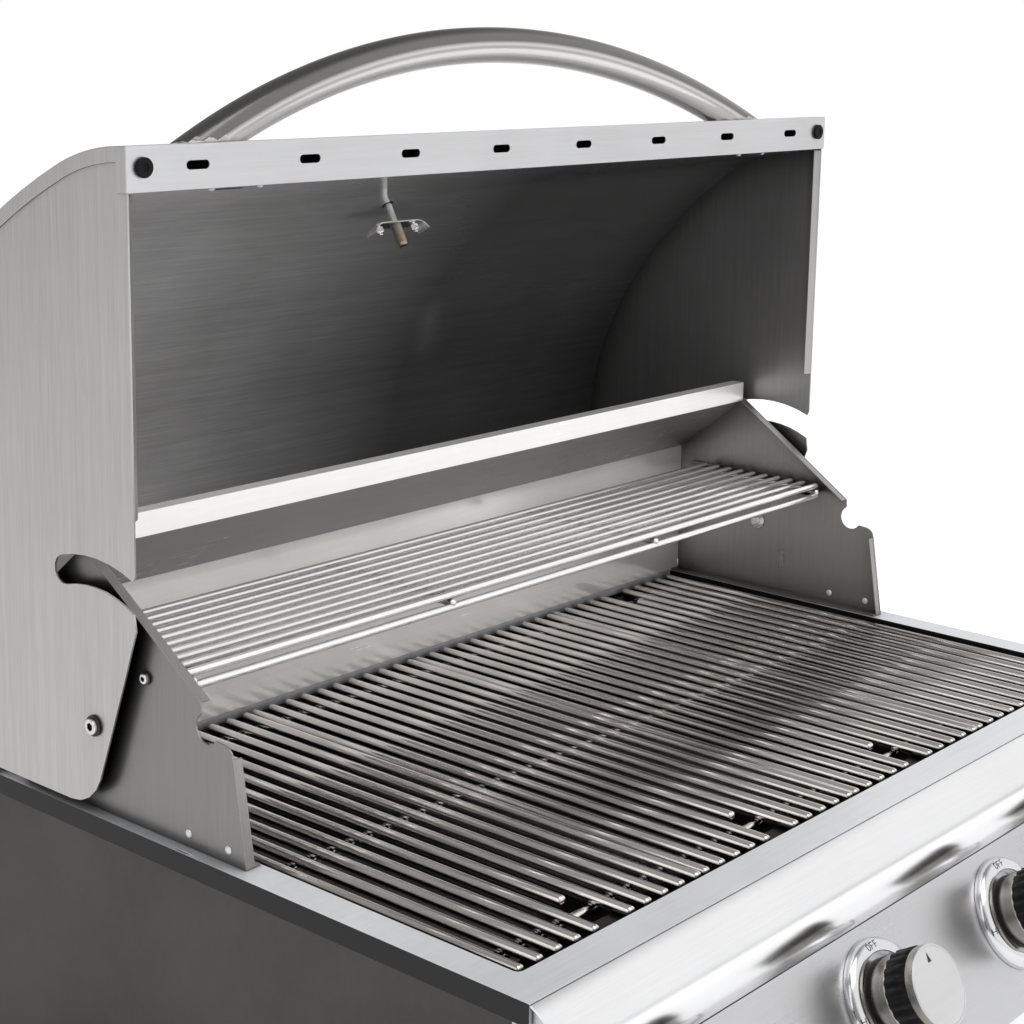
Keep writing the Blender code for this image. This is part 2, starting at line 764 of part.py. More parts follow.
def make_hinge_bolt(name, side):
    stations = [(BOLT_NUT_RADIUS, WING_INSIDE - GAP - BOLT_NUT_HEIGHT, WING_INSIDE - GAP)]
    stations.append((BOLT_RADIUS, WING_INSIDE - GAP, WING_OUTSIDE + GAP))
    stations.append((BOLT_SPACER_RADIUS, WING_OUTSIDE + GAP, CHEEK_INSIDE - GAP))
    stations.append((BOLT_RADIUS, CHEEK_INSIDE - GAP, CHEEK_OUTSIDE + GAP))
    stations.append((BOLT_HEAD_RADIUS, CHEEK_OUTSIDE + GAP, CHEEK_OUTSIDE + GAP + BOLT_HEAD_HEIGHT))
    profile = [(0, stations[0][1])]
    for radius, low, high in stations:
        profile += [(radius, low), (radius, high)]
    profile.append((0, stations[-1][2]))
    made = moved(turned(profile, BOLT_SIDES), (0, HINGE_Y, HINGE_Z), (90 * side, "Y"))
    node(name, made, "polished", smooth=SMOOTH_TURNED)


# Cooking grates, warming rack and what lies under the grates

def make_grate(index):
    """Round rods on three cross rods; the middle rod stops short for the lifter."""
    front = OPENING_FRONT + GRATE_SETBACK
    back = front + GRATE_LENGTH
    middle = RODS_PER_GRATE // 2
    last_zone = index == ZONES - 1
    lines = []
    for number in range(RODS_PER_GRATE):
        x = (number - middle) * ROD_PITCH
        low = front + (FINGER_GAP_FRONT if number == middle and not last_zone else 0)
        high = back - (FINGER_GAP_BACK if number == middle and last_zone else 0)
        lines.append([(x, low, 0), (x, high, 0)])
    drop = WELD - 2 * flat(ROD_DIAMETER / 2, ROD_SIDES)
    reach = middle * ROD_PITCH
    crosses = []
    middle_y = front + GRATE_LENGTH * CROSS_ROD_MIDDLE_SHARE
    for y in (front + CROSS_ROD_FRONT, middle_y, back - CROSS_ROD_BACK):
        crosses.append([(-reach, y, drop), (reach, y, drop)])
    grate = rods(lines, ROD_DIAMETER / 2, ROD_SIDES)
    union(grate, rods(crosses, ROD_DIAMETER / 2, ROD_SIDES))
    node(f"grate_{index + 1}", grate, "rod_steel", smooth=SMOOTH_BAR)
    grate.location = (zone_centre(index), 0, ROD_Z)


def make_warming_rack():
    front = rack_front()
    back = front + RACK_PITCH * (RACK_RODS - 1)
    height = rack_height()
    radius = RACK_ROD_DIAMETER / 2
    lines = []
    for number in range(RACK_RODS):
        y = front + number * RACK_PITCH
        lines.append([(-RACK_HALF_LENGTH, y, height), (RACK_HALF_LENGTH, y, height)])
    low_y = front - RACK_LOW_ROD_FORWARD
    low_z = height - RACK_LOW_ROD_DROP
    low_reach = RACK_HALF_LENGTH - RACK_LOW_ROD_SHORTER
    lines.append([(-low_reach, low_y, low_z), (low_reach, low_y, low_z)])
    level = rack_cross_height()
    crosses = []
    for inset in RACK_CROSS_INSETS:
        place = RACK_HALF_LENGTH - inset
        for x in (-place, place):
            start = (x, low_y - radius + WELD, level)
            crosses.append([start, (x, back + RACK_CROSS_BACK, level)])
    rack = rods(lines, radius, RACK_ROD_SIDES)
    union(rack, rods(crosses, radius, RACK_ROD_SIDES))
    node("warming_rack", rack, "polished", smooth=SMOOTH_BAR)


def insert_ends():
    return COOK_FRONT + INSERT_PLAY, COOK_BACK - INSERT_PLAY


def make_flame_tamer(index):
    low = TAMER_LEDGE_TOP + GAP
    path = [(-TAMER_HALF_WIDTH, low), (0, low + TAMER_RISE), (TAMER_HALF_WIDTH, low)]
    tamer = prism(bent_sheet(path, SHEET), *insert_ends(), "Y")
    node(f"flame_tamer_{index + 1}", tamer, "dark_steel")
    tamer.location.x = zone_centre(index)


def make_heat_divider(index):
    low = TAMER_LEDGE_TOP + GAP
    path = [(DIVIDER_FOOT, low), (0, low), (0, DIVIDER_TOP)]
    divider = prism(bent_sheet(path, -SHEET), *insert_ends(), "Y")
    node(f"heat_divider_{index + 1}", divider, "dark_steel")
    divider.location.x = (zone_centre(index) + zone_centre(index + 1)) / 2


def make_burner(index):
    """A closed loop of tube fed through a straight venturi at the valve."""
    height = burner_height()
    middle = zone_centre(index)
    front = COOK_FRONT + BURNER_FRONT
    back = COOK_BACK - BURNER_BACK
    loop_box = (middle - BURNER_HALF_WIDTH, front, middle + BURNER_HALF_WIDTH, back)
    loop = [(x, y, height) for x, y in round_rectangle(*loop_box, BURNER_CORNER)]
    burner = tube(loop, BURNER_RADIUS, ROD_SIDES, closed=True)
    mouth = (burner_axis(index), FIREBOX_FRONT - VENTURI_PROUD, height)
    bore_end = (mouth[0], mouth[1] + VENTURI_BORE_DEPTH, height)
    union(burner, tube([mouth, (mouth[0], front, height)], VENTURI_RADIUS, ROD_SIDES))
    cut(burner, tube([(mouth[0], mouth[1] - OVERRUN, height), bore_end], VENTURI_BORE, ROD_SIDES))
    node(f"burner_{index + 1}", burner, "cast", smooth=SMOOTH_BAR)


# Front roll, control panel and end caps

def roll_point(angle, inset=0):
    radius = ROLL_RADIUS - inset
    return ROLL_CENTRE_Y + radius * cosine(angle), ROLL_CENTRE_Z + radius * sine(angle)


def panel_point(down, inset=0):
    """Y and Z of a point down the control panel's face, or behind it."""
    y, z = roll_point(ROLL_END)
    y += inset * cosine(PANEL_SLOPE) - down * sine(PANEL_SLOPE)
    z -= inset * sine(PANEL_SLOPE) + down * cosine(PANEL_SLOPE)
    return y, z


def roll_start(inset, clearance):
    """Angle at which the roll, or a line inside it, clears the top frame's rim."""
    return math.degrees(math.acos(-(ROLL_SETBACK + clearance) / (ROLL_RADIUS - inset)))


def make_bullnose():
    centre = (ROLL_CENTRE_Y, ROLL_CENTRE_Z)
    path = arc(centre, ROLL_RADIUS, roll_start(SHEET, GAP), ROLL_END)
    half = DECK_WIDTH / 2
    node("bullnose", prism(bent_sheet(path, SHEET), -half, half, "X"), "polished", smooth=SMOOTH_SHEET)


def make_control_panel():
    bottom = panel_point(PANEL_LENGTH)
    path = [panel_point(PANEL_SEAM), bottom, (bottom[0] + PANEL_RETURN, bottom[1])]
    half = DECK_WIDTH / 2
    panel = prism(bent_sheet(path, SHEET), -half, half, "X")
    y, z = panel_point(KNOB_DOWN_PANEL)
    drills = []
    for index in range(KNOBS):
        drill = pin(STEM_HOLE_RADIUS, -OVERRUN, OVERRUN)
        drills.append(moved(drill, (burner_axis(index), y, z), (90 - PANEL_SLOPE, "X")))
    cut(panel, merge(drills[0], drills[1:]))
    node("control_panel", panel, "brushed")


def make_end_cap(name, side):
    inset = SHEET + GAP
    back = FIREBOX_FRONT - GAP
    top = DECK_TOP - DECK_RIM - GAP
    first = roll_start(inset, 2 * GAP)
    bottom = panel_point(PANEL_LENGTH)[1] + inset
    crease_y, crease_z = panel_point(0, inset)
    down = (crease_z - bottom) / cosine(PANEL_SLOPE)
    outline = [(back, top), (roll_point(first, inset)[0], top)]
    outline += arc((ROLL_CENTRE_Y, ROLL_CENTRE_Z), ROLL_RADIUS - inset, first, ROLL_END)
    outline += [panel_point(0, inset), panel_point(down, inset), (back, bottom)]
    cap = both_sides(outline, CAP_OUTSIDE - SHEET, CAP_OUTSIDE, side)
    flange = rectangle(back - SHEET, bottom, back, top)
    union(cap, both_sides(flange, CAP_OUTSIDE - CAP_FLANGE, CAP_OUTSIDE - WELD, side))
    node(name, cap, "brushed")


# Knobs, bezels, valves and gas supply

def make_bezel(index):
    crest_run = BEZEL_RADIUS - BEZEL_CREST
    crest_rise = BEZEL_HEIGHT - BEZEL_EDGE
    profile = [(BEZEL_HOLE, GAP), (BEZEL_RADIUS, GAP)]
    profile += scaled_arc((BEZEL_CREST, BEZEL_EDGE), crest_run, crest_rise)
    profile.append((BEZEL_HOLE + BEZEL_ROLL, BEZEL_HEIGHT))
    profile.append((BEZEL_HOLE, BEZEL_HEIGHT - BEZEL_ROLL))
    place = (burner_axis(index), *panel_point(KNOB_DOWN_PANEL))
    made = moved(turned(profile), place, (90 - PANEL_SLOPE, "X"))
    node(f"bezel_{index + 1}", made, "polished", smooth=SMOOTH_TURNED)


def make_valve(index):
    """Valve body along the knob's axis, with a saddle on the manifold and a gas outlet."""
    x = burner_axis(index)
    slope = 90 - PANEL_SLOPE
    body = pin(VALVE_BODY_RADIUS, 0, VALVE_FAR - VALVE_NEAR)
    moved(body, (x, *valve_point(VALVE_FAR)), (slope, "X"))
    y, z = valve_point(VALVE_FAR - VALVE_OUTLET_RADIUS)
    outlet_end = FIREBOX_FRONT - VENTURI_PROUD + OUTLET_IN_VENTURI
    union(body, tube([(x, y, z), (x, outlet_end, z)], VALVE_OUTLET_RADIUS, ROD_SIDES))
    seat_z = z - MANIFOLD_DROP + flat(MANIFOLD_RADIUS, ROD_SIDES) + GAP
    union(body, tube([(x, y, seat_z), (x, y, z)], VALVE_SEAT_RADIUS, ROD_SIDES, up=(0, 1, 0)))
    drill = pin(VALVE_STEM_RADIUS + GAP, 0, VALVE_SOCKET + OVERRUN)
    cut(body, moved(drill, (x, *valve_point(VALVE_NEAR + VALVE_SOCKET)), (slope, "X")))
    node(f"valve_{index + 1}", body, "brass", smooth=SMOOTH_TURNED)


def make_manifold():
    y, z = valve_point(VALVE_FAR - VALVE_OUTLET_RADIUS)
    z -= MANIFOLD_DROP
    pipe = tube([(MANIFOLD_LEFT, y, z), (MANIFOLD_RIGHT, y, z)], MANIFOLD_RADIUS, ROD_SIDES)
    wall = FIREBOX_FRONT - GAP
    path = [(y, z), (wall, z), (wall, z - BRACKET_LEG)]
    for index in range(KNOBS - 1):
        low = (burner_axis(index) + burner_axis(index + 1) - BRACKET_WIDTH) / 2
        union(pipe, prism(bent_sheet(path, -SHEET), low, low + BRACKET_WIDTH, "X"))
    node("manifold", pipe, "dark_steel", smooth=SMOOTH_BAR)


def make_gas_inlet():
    """Elbow on the manifold's right end, down to the nut that takes the supply line."""
    y, z = valve_point(VALVE_FAR - VALVE_OUTLET_RADIUS)
    z -= MANIFOLD_DROP
    start = MANIFOLD_RIGHT + GAP
    bend = (start + INLET_RUN, z - INLET_BEND)
    route = [(start, y, z)] + [(a, y, b) for a, b in arc(bend, INLET_BEND, 90, 0, INLET_STEP)]
    foot = z - INLET_BEND - INLET_DROP
    route.append((route[-1][0], y, foot))
    elbow = tube(route, INLET_RADIUS, ROD_SIDES, up=(0, 1, 0))
    nut_x = route[-1][0]
    nut = [(nut_x, y, foot + INLET_NUT), (nut_x, y, foot - WELD)]
    union(elbow, tube(nut, INLET_NUT_RADIUS, HEX_SIDES, up=(0, 1, 0)))
    node("gas_inlet", elbow, "brass", smooth=SMOOTH_TURNED)


def make_valve_stem(index, joint):
    low = VALVE_TRAVEL + VALVE_SOCKET_PLAY - VALVE_NEAR - VALVE_SOCKET
    high = KNOB_STANDOFF + KNOB_BORE_DEPTH - GAP
    stem = pin(VALVE_STEM_RADIUS, low, high)
    node(f"valve_stem_{index + 1}", stem, "brushed", joint, smooth=SMOOTH_TURNED)


def make_knob(index, joint):
    """Metal knob turned with a groove for its rubber ring, bored for the stem."""
    bore = VALVE_STEM_RADIUS + GAP
    bore_end = KNOB_STANDOFF + KNOB_BORE_DEPTH
    profile = [(0, bore_end), (bore, bore_end), (bore, KNOB_STANDOFF)]
    profile += [(KNOB_BASE_RADIUS, KNOB_STANDOFF), (KNOB_BASE_RADIUS, KNOB_BASE_TOP)]
    profile += [(KNOB_CORE_RADIUS, KNOB_BASE_TOP), (KNOB_CORE_RADIUS, KNOB_GRIP_TOP)]
    profile += [(KNOB_FACE_RADIUS, KNOB_GRIP_TOP), (KNOB_FACE_RADIUS, KNOB_TOP - KNOB_EDGE)]
    profile += [(KNOB_FACE_RADIUS - KNOB_EDGE, KNOB_TOP), (0, KNOB_TOP)]
    knob = turned(profile)
    tip = KNOB_FACE_RADIUS - POINTER_FROM_EDGE
    half = POINTER_WIDTH / 2
    pointer = [(-half, tip - POINTER_LENGTH), (half, tip - POINTER_LENGTH), (0, tip)]
    cut(knob, prism(pointer, KNOB_TOP - POINTER_DEPTH, KNOB_TOP + OVERRUN, "Z"))
    node(f"knob_{index + 1}", knob, "polished", joint, smooth=SMOOTH_TURNED)


def make_knob_grip(index, joint):
    """Rubber ring with a groove and a rib in turn all round."""
    radii = (KNOB_GRIP_RADIUS - GRIP_GROOVE, KNOB_GRIP_RADIUS)
    outline = []
    for rib in range(GRIP_RIBS):
        for share, radius in zip(GRIP_RIB_SHARES, radii):
            turn = 360 * (rib + share) / GRIP_RIBS
            outline.append((radius * cosine(turn), radius * sine(turn)))
    hole = circle((0, 0), bar(KNOB_CORE_RADIUS, ROUND_SIDES) + GAP, 360 / ROUND_SIDES)
    grip = prism(outline, KNOB_BASE_TOP + GAP, KNOB_GRIP_TOP - GAP, "Z", [hole])
    node(f"knob_grip_{index + 1}", grip, "rubber", joint)


# Grease tray

def make_drip_tray():
    half = TRAY_HALF_WIDTH
    low = WALL + GAP
    face = FIREBOX_FRONT - GAP
    outside = rectangle(-half, face - WELD, half, TRAY_BACK)
    inside = rectangle(-half + SHEET, face - WELD + SHEET, half - SHEET, TRAY_BACK - SHEET)
    tray = prism(outside, low, low + TRAY_WALL_HEIGHT, "Z", [inside])
    pan = rectangle(-half + WELD, face, half - WELD, TRAY_BACK - WELD)
    union(tray, prism(pan, low, low + SHEET, "Z"))
    front_half = half + TRAY_FRONT_OVERHANG
    front = rectangle(-front_half, TRAY_FRONT_FOOT, front_half, TRAY_FRONT_FOOT + TRAY_FRONT_HEIGHT)
    union(tray, prism(front, face - SHEET, face, "Y"))
    node("drip_tray", tray, "brushed")
    y = face - SHEET - GAP
    reach = y - PULL_REACH
    path = [(y, PULL_TOP - PULL_HEIGHT), (y, PULL_TOP), (reach, PULL_TOP), (reach, PULL_TOP - PULL_LIP)]
    pull = prism(bent_sheet(path, SHEET), -PULL_LENGTH / 2, PULL_LENGTH / 2, "X")
    node("drip_tray_handle", pull, "brushed")


# Hood, all placed from its hinge axis

def skin_path():
    top = LIP_BOTTOM + LIP_HEIGHT
    rolled = rolled_path((-HOOD_FRONT, top), SKIN_HEADINGS, SKIN_RADII)
    back = rolled[-1][0]
    path = [(-HOOD_FRONT, LIP_BOTTOM)] + rolled
    return_end = OPENING_BACK - HINGE_Y + SKIN_RETURN_BEHIND_WALL
    return path + [(back, -SKIN_BOTTOM), (return_end, -SKIN_BOTTOM)]


def skin_frame(heading):
    """A point on the skin's long roll, where its outward normal leans back by the heading."""
    y, z = rolled_path((-HOOD_FRONT, LIP_BOTTOM + LIP_HEIGHT), SKIN_HEADINGS[:2], SKIN_RADII[:1])[-1]
    y += SKIN_RADII[1] * (sine(heading) - sine(SKIN_HEADINGS[1]))
    z += SKIN_RADII[1] * (cosine(heading) - cosine(SKIN_HEADINGS[1]))
    return y, z


def thermometer_drill():
    drill = pin(STEM_HOLE, -STEM_LENGTH, OVERRUN)
    return moved(drill, (DIAL_ALONG, *skin_frame(DIAL_HEADING)), (-DIAL_HEADING, "X"))


def make_hood_skin(joint):
    """Rolled sheet whose edges fold down over the cheeks, with the slotted lip."""
    path = skin_path()
    inner = offset_path(path, -SHEET)
    fold = offset_path(path, -SKIN_FOLD)
    outside = HOOD_HALF_WIDTH
    inside = HOOD_HALF_WIDTH - SHEET
    bm = bmesh.new()
    stations = []
    for a, b, c in zip(path, inner, fold):
        ring = [(outside, a), (-outside, a), (-outside, c), (-inside, c)]
        ring += [(-inside, b), (inside, b), (inside, c), (outside, c)]
        stations.append([bm.verts.new((x, *point)) for x, point in ring])
    for first, second in zip(stations, stations[1:]):
        join_rings(bm, first, second)
    bm.faces.new(stations[0])
    bm.faces.new(stations[-1])
    skin = new_object(bm)
    slots = []
    slot_z = LIP_BOTTOM + LIP_HEIGHT - LIP_SLOT_BELOW_TOP
    for number in range(LIP_SLOTS):
        x = (number - (LIP_SLOTS - 1) / 2) * LIP_SLOT_PITCH
        slot = stadium((x, slot_z), LIP_SLOT_LENGTH, LIP_SLOT_HEIGHT)
        slots.append(prism(slot, -HOOD_FRONT - OVERRUN, -HOOD_FRONT + OVERRUN, "Y"))
    cut(skin, merge(slots[0], slots[1:]), thermometer_drill())
    node("hood_skin", skin, "brushed", joint, smooth=SMOOTH_SHEET)


def slot_mouth(radius, front):
    """Heading at which an edge of the spit rod slot comes out at the panel's front."""
    return math.degrees(math.acos((front + SPIT_SLOT_EASE) / radius))


def make_hood_side(name, side, joint):
    """Side panel: slanted front, corner, spit rod slot round the hinge, lobe and hem."""
    edge = offset_path(skin_path(), -SHEET - GAP)
    front = edge[0][0]
    half_slot = SPIT_SLOT_WIDTH / 2
    slot_low = SPIT_SLOT_RADIUS - half_slot
    slot_high = SPIT_SLOT_RADIUS + half_slot
    under_slot = arc((0, 0), slot_low, slot_mouth(slot_low, front), SPIT_SLOT_END)
    over_slot = arc((0, 0), slot_high, SPIT_SLOT_END, slot_mouth(slot_high, front))
    middle = (SPIT_SLOT_RADIUS * cosine(SPIT_SLOT_END), SPIT_SLOT_RADIUS * sine(SPIT_SLOT_END))
    outline = list(edge)
    bottom = edge[-1][1]
    corner_y = CHEEK_KNEE[0] + (CHEEK_KNEE[1] - bottom) * sine(CHEEK_LEAN) / cosine(CHEEK_LEAN)
    round_y = corner_y + CHEEK_CORNER_RADIUS * math.tan(math.radians(90 - CHEEK_LEAN) / 2)
    corner = (round_y, bottom + CHEEK_CORNER_RADIUS)
    outline += arc(corner, CHEEK_CORNER_RADIUS, 270, 180 + CHEEK_LEAN, CHEEK_CORNER_STEP)
    outline += [CHEEK_KNEE, (front, under_slot[0][1] - CHEEK_MOUTH_DROP)]
    outline += under_slot
    outline += arc(middle, half_slot, SPIT_SLOT_END + 180, SPIT_SLOT_END + 360, HOLE_STEP)[1:-1]
    outline += over_slot
    outline.append((front, over_slot[-1][1] + CHEEK_MOUTH_RISE))
    bolt_hole = circle((0, 0), BOLT_RADIUS + GAP)
    cheek = both_sides(outline, CHEEK_INSIDE, CHEEK_OUTSIDE, side, [bolt_hole])
    root = side * (CHEEK_INSIDE + WELD)
    edge_x = side * (CHEEK_OUTSIDE - CHEEK_HEM)
    back_y = front + CHEEK_HEM_LEAN
    hem = [(root, front), (edge_x, back_y), (edge_x, back_y + SHEET), (root, front + SHEET)]
    union(cheek, prism(hem, CHEEK_HEM_BOTTOM, LIP_BOTTOM - CHEEK_HEM_TOP_DROP, "Z"))
    node(name, cheek, "brushed", joint)


def make_hood_liner(joint):
    start = (-HOOD_FRONT + SHEET + GAP, LIP_BOTTOM - GAP)
    heading = LINER_HEADINGS[0]
    bend = (start[0] + LINER_FLAT * cosine(heading), start[1] - LINER_FLAT * sine(heading))
    path = [start] + rolled_path(bend, LINER_HEADINGS, LINER_RADII)
    path.append((path[-1][0], -SKIN_BOTTOM + SHEET + GAP))
    half = CHEEK_INSIDE - GAP
    liner = prism(bent_sheet(path, LINER_SHEET), -half, half, "X")
    cut(liner, thermometer_drill())
    node("hood_liner", liner, "dark_steel", joint, smooth=SMOOTH_SHEET)


def make_hood_handle(joint):
    """Bent tube whose ends are coped to the skin."""
    fall = (HANDLE_RISE + HANDLE_SINK) / cosine(HANDLE_TILT)
    bend = (HANDLE_REACH ** 2 + fall ** 2) / (2 * fall)
    half_angle = math.degrees(math.asin(HANDLE_REACH / bend))
    apex = LIP_BOTTOM + LIP_HEIGHT + HANDLE_RISE
    route = []
    for number in range(HANDLE_STEPS + 1):
        turn = half_angle * (2 * number / HANDLE_STEPS - 1)
        drop = bend * (1 - cosine(turn))
        y = HANDLE_APEX_BACK - drop * sine(HANDLE_TILT)
        z = apex - drop * cosine(HANDLE_TILT)
        route.append((bend * sine(turn), y, z))
    up = (0, -cosine(HANDLE_TILT), sine(HANDLE_TILT))
    handle = tube(route, HANDLE_RADIUS, HANDLE_SIDES, up=up)
    hood_volume = offset_path(skin_path(), GAP)
    cut(handle, prism(hood_volume, -HOOD_HALF_WIDTH, HOOD_HALF_WIDTH, "X"))
    node("hood_handle", handle, "brushed", joint, smooth=SMOOTH_BAR)


def make_bumper(name, side, joint):
    bumper = pin(BUMPER_RADIUS, 0, BUMPER_HEIGHT)
    level = LIP_BOTTOM + LIP_HEIGHT - LIP_SLOT_BELOW_TOP
    place = (side * (HOOD_HALF_WIDTH - BUMPER_INSET), -HOOD_FRONT - GAP, level)
    node(name, moved(bumper, place, (90, "X")), "rubber", joint, smooth=SMOOTH_TURNED)


def make_thermometer(joint):
    neck = STEM_TIP - STEM_LENGTH
    profile = [(0, DIAL_HEIGHT), (DIAL_RADIUS, DIAL_HEIGHT), (DIAL_RADIUS, DIAL_STANDOFF)]
    profile += [(STEM_RADIUS, DIAL_STANDOFF), (STEM_RADIUS, neck), (STEM_TIP_RADIUS, neck)]
    profile += [(STEM_TIP_RADIUS, -STEM_LENGTH), (0, -STEM_LENGTH)]
    place = (DIAL_ALONG, *skin_frame(DIAL_HEADING))
    gauge = moved(turned(profile), place, (-DIAL_HEADING, "X"))
    node("thermometer", gauge, "polished", joint, smooth=SMOOTH_TURNED)
    half = STRAP_LENGTH / 2
    path = [(-half, -STRAP_DEPTH), (STRAP_END - half, 0), (half - STRAP_END, 0), (half, -STRAP_DEPTH)]
    strap = prism(bent_sheet(path, SHEET), -STRAP_WIDTH / 2, STRAP_WIDTH / 2, "Y")
    cut(strap, pin(STEM_TIP_RADIUS + GAP, -OVERRUN, OVERRUN))
    moved(strap, (0, 0, -STRAP_LEVEL))
    node("thermometer_bracket", moved(strap, place, (-DIAL_HEADING, "X")), "polished", joint)


def build():
    clear_scene()
    make_deck()
    make_firebox()
    make_rear_wall()
    for name, side in SIDES:
        make_windshield(f"windshield_{name}", side)
        make_hinge_bolt(f"hinge_bolt_{name}", side)
        make_end_cap(f"panel_end_cap_{name}", side)
    make_warming_rack()
    make_bullnose()
    make_control_panel()
    make_manifold()
    make_gas_inlet()
    make_drip_tray()
    for index in range(ZONES - 1):
        make_heat_divider(index)
    for index in range(ZONES):
        make_grate(index)
        make_flame_tamer(index)
        make_burner(index)
    for index in range(KNOBS):
        make_bezel(index)
        make_valve(index)
        place = (burner_axis(index), *panel_point(KNOB_DOWN_PANEL))
        joint = joint_empty(f"knob_axis_{index + 1}", place, 90 - PANEL_SLOPE)
        make_valve_stem(index, joint)
        make_knob(index, joint)
        make_knob_grip(index, joint)
    hinge = joint_empty("hood_hinge", (0, HINGE_Y, HINGE_Z))
    make_hood_skin(hinge)
    make_hood_liner(hinge)
    make_hood_handle(hinge)
    make_thermometer(hinge)
    for name, side in SIDES:
        make_hood_side(f"hood_side_{name}", side, hinge)
        make_bumper(f"bumper_{name}", side, hinge)


build()
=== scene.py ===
"""Looks of the built-in gas grill head: finer pieces, brushed and polished steel, light and camera.

Metres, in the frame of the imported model. +X runs to the cook's right and -Y faces the cook.
"""
import math

import bmesh
import bpy
from mathutils import Matrix, Vector


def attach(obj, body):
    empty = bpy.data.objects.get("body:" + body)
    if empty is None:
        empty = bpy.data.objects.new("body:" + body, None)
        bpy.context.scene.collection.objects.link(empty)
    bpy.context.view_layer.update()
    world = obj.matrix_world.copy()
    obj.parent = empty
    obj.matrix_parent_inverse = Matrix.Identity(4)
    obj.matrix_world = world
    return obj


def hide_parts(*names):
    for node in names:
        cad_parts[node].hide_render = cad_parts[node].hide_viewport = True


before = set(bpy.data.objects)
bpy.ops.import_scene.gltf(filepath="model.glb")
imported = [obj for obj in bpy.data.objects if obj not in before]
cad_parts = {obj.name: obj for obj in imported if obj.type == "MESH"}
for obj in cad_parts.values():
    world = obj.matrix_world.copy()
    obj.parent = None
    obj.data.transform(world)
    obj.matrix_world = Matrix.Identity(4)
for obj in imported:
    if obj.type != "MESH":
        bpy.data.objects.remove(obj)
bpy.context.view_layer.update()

# Sizes that the model is built to
GAP = 0.0003
SHEET = 0.0012
DECK_WIDTH = 0.8136
DECK_DEPTH = 0.566
DECK_TOP = 0.2235
SIDE_STRIP = 0.0244
FRONT_STRIP = 0.0291
REAR_STRIP = 0.0795
OPENING_FRONT = -DECK_DEPTH / 2 + FRONT_STRIP
OPENING_BACK = DECK_DEPTH / 2 - REAR_STRIP
OPENING_HALF = DECK_WIDTH / 2 - SIDE_STRIP

ZONES = 4
ZONE_PITCH = 2 * (OPENING_HALF - 0.006) / ZONES
RODS_PER_GRATE = 11
ROD_RADIUS = 0.004
ROD_PITCH = (ZONE_PITCH - 0.0096) / (RODS_PER_GRATE - 1)
ROD_Z = DECK_TOP - 0.0055
GRATE_FRONT = OPENING_FRONT + 0.0064
GRATE_BACK = OPENING_BACK - 0.004
CROSS_ROD_FRONT = 0.033
CROSS_ROD_MIDDLE_SHARE = 0.488
CROSS_ROD_BACK = 0.017
FINGER_GAP_FRONT = 0.042
FINGER_GAP_BACK = 0.0323
ROD_SINK = 0.0004
CROSS_ROD_PAST = 0.0002
ROD_WELD_ASIDE = 0.0022
ROD_WELD = (0.0009, 0.0018, 0.0008)

TAMER_HALF_WIDTH = ZONE_PITCH / 2 - 0.0111
TAMER_BOTTOM = DECK_TOP - 0.0755 + GAP
TAMER_RISE = 0.040
TAMER_FRONT = -0.262
TAMER_BACK = 0.202
HOLE_RADIUS = 0.0022
HOLE_PITCH = 0.0068
HOLE_MARGIN = 0.006
HOLE_ROW_SHARE = 0.866
HOLE_TURNS = (55, 0, -55, -125, 180, 125)
TAMER_MERGE = 0.00002

WING_OUTSIDE = DECK_WIDTH / 2 - 0.0099
WING_INSIDE = WING_OUTSIDE - SHEET
RACK_RODS = 10
RACK_PITCH = 0.0142
RACK_RADIUS = 0.003
RACK_HALF_LENGTH = WING_INSIDE - 0.0097
RACK_Z = DECK_TOP + 0.1149
RACK_FRONT = OPENING_BACK - 0.0382 - RACK_PITCH * (RACK_RODS - 1)
RACK_CROSS_INSETS = (0.004, 0.258)
RACK_CROSS_BACK = 0.006
RACK_LOW_ROD_FORWARD = 0.002
RACK_LOW_ROD_DROP = 0.0091
RACK_LOW_ROD_SHORTER = 0.0015
RACK_SIDES = 16
RACK_SINK = 0.0003
RACK_WELD_DROP = 0.0031
RACK_WELD = (0.0011, 0.0016, 0.0007)

HINGE_Y = DECK_DEPTH / 2 - 0.1745
HINGE_Z = DECK_TOP + 0.0665
HOOD_HALF_WIDTH = WING_OUTSIDE + 0.012
HOOD_FRONT = 0.048
LIP_BOTTOM = 0.3657
LIP_HEIGHT = 0.0296
SKIN_RADII = (0.180, 0.600, 0.260)
SKIN_HEADINGS = (0, 24, 36, 90)
SKIN_BOTTOM = 0.062
SKIN_RETURN_END = OPENING_BACK - HINGE_Y + 0.024
SKIN_FOLD = 0.010
HEM_SOFT = 0.0005
HEM_ROOM = 1.1 * SKIN_FOLD
HEM_SIDEWAYS = 0.8
LINER_SHEET = 0.0010
LINER_FLAT = 0.060
LINER_RADII = (0.110, 0.500, 0.307)
LINER_HEADINGS = (10, 36, 52, 90)
LINER_SLIT = (0.312, 0.0130)
LINER_SLIT_SIZE = (0.024, 0.0060)
LINER_RIVETS = ((0.3265, 0.0130), (0.286, 0.0105))
LINER_RIVET_SIZE = (0.0022, 0.0010)
CHEEK_OUTSIDE = HOOD_HALF_WIDTH - SHEET - GAP
CHEEK_INSIDE = CHEEK_OUTSIDE - 0.0015
LIP_SLOTS = 8
LIP_SLOT_PITCH = 2 * (HOOD_HALF_WIDTH - 0.0589) / (LIP_SLOTS - 1)
LIP_SLOT_LENGTH = 0.0195
LIP_SLOT_HEIGHT = 0.006
LIP_SLOT_Z = LIP_BOTTOM + LIP_HEIGHT - 0.0138
LIP_CUT = 0.006
BUMPER_RADIUS = 0.0067
BUMPER_HEIGHT = 0.0026
BUMPER_X = HOOD_HALF_WIDTH - 0.0135
BUMPER_SOFT = 0.0008
BUMPER_DISH = 0.0030
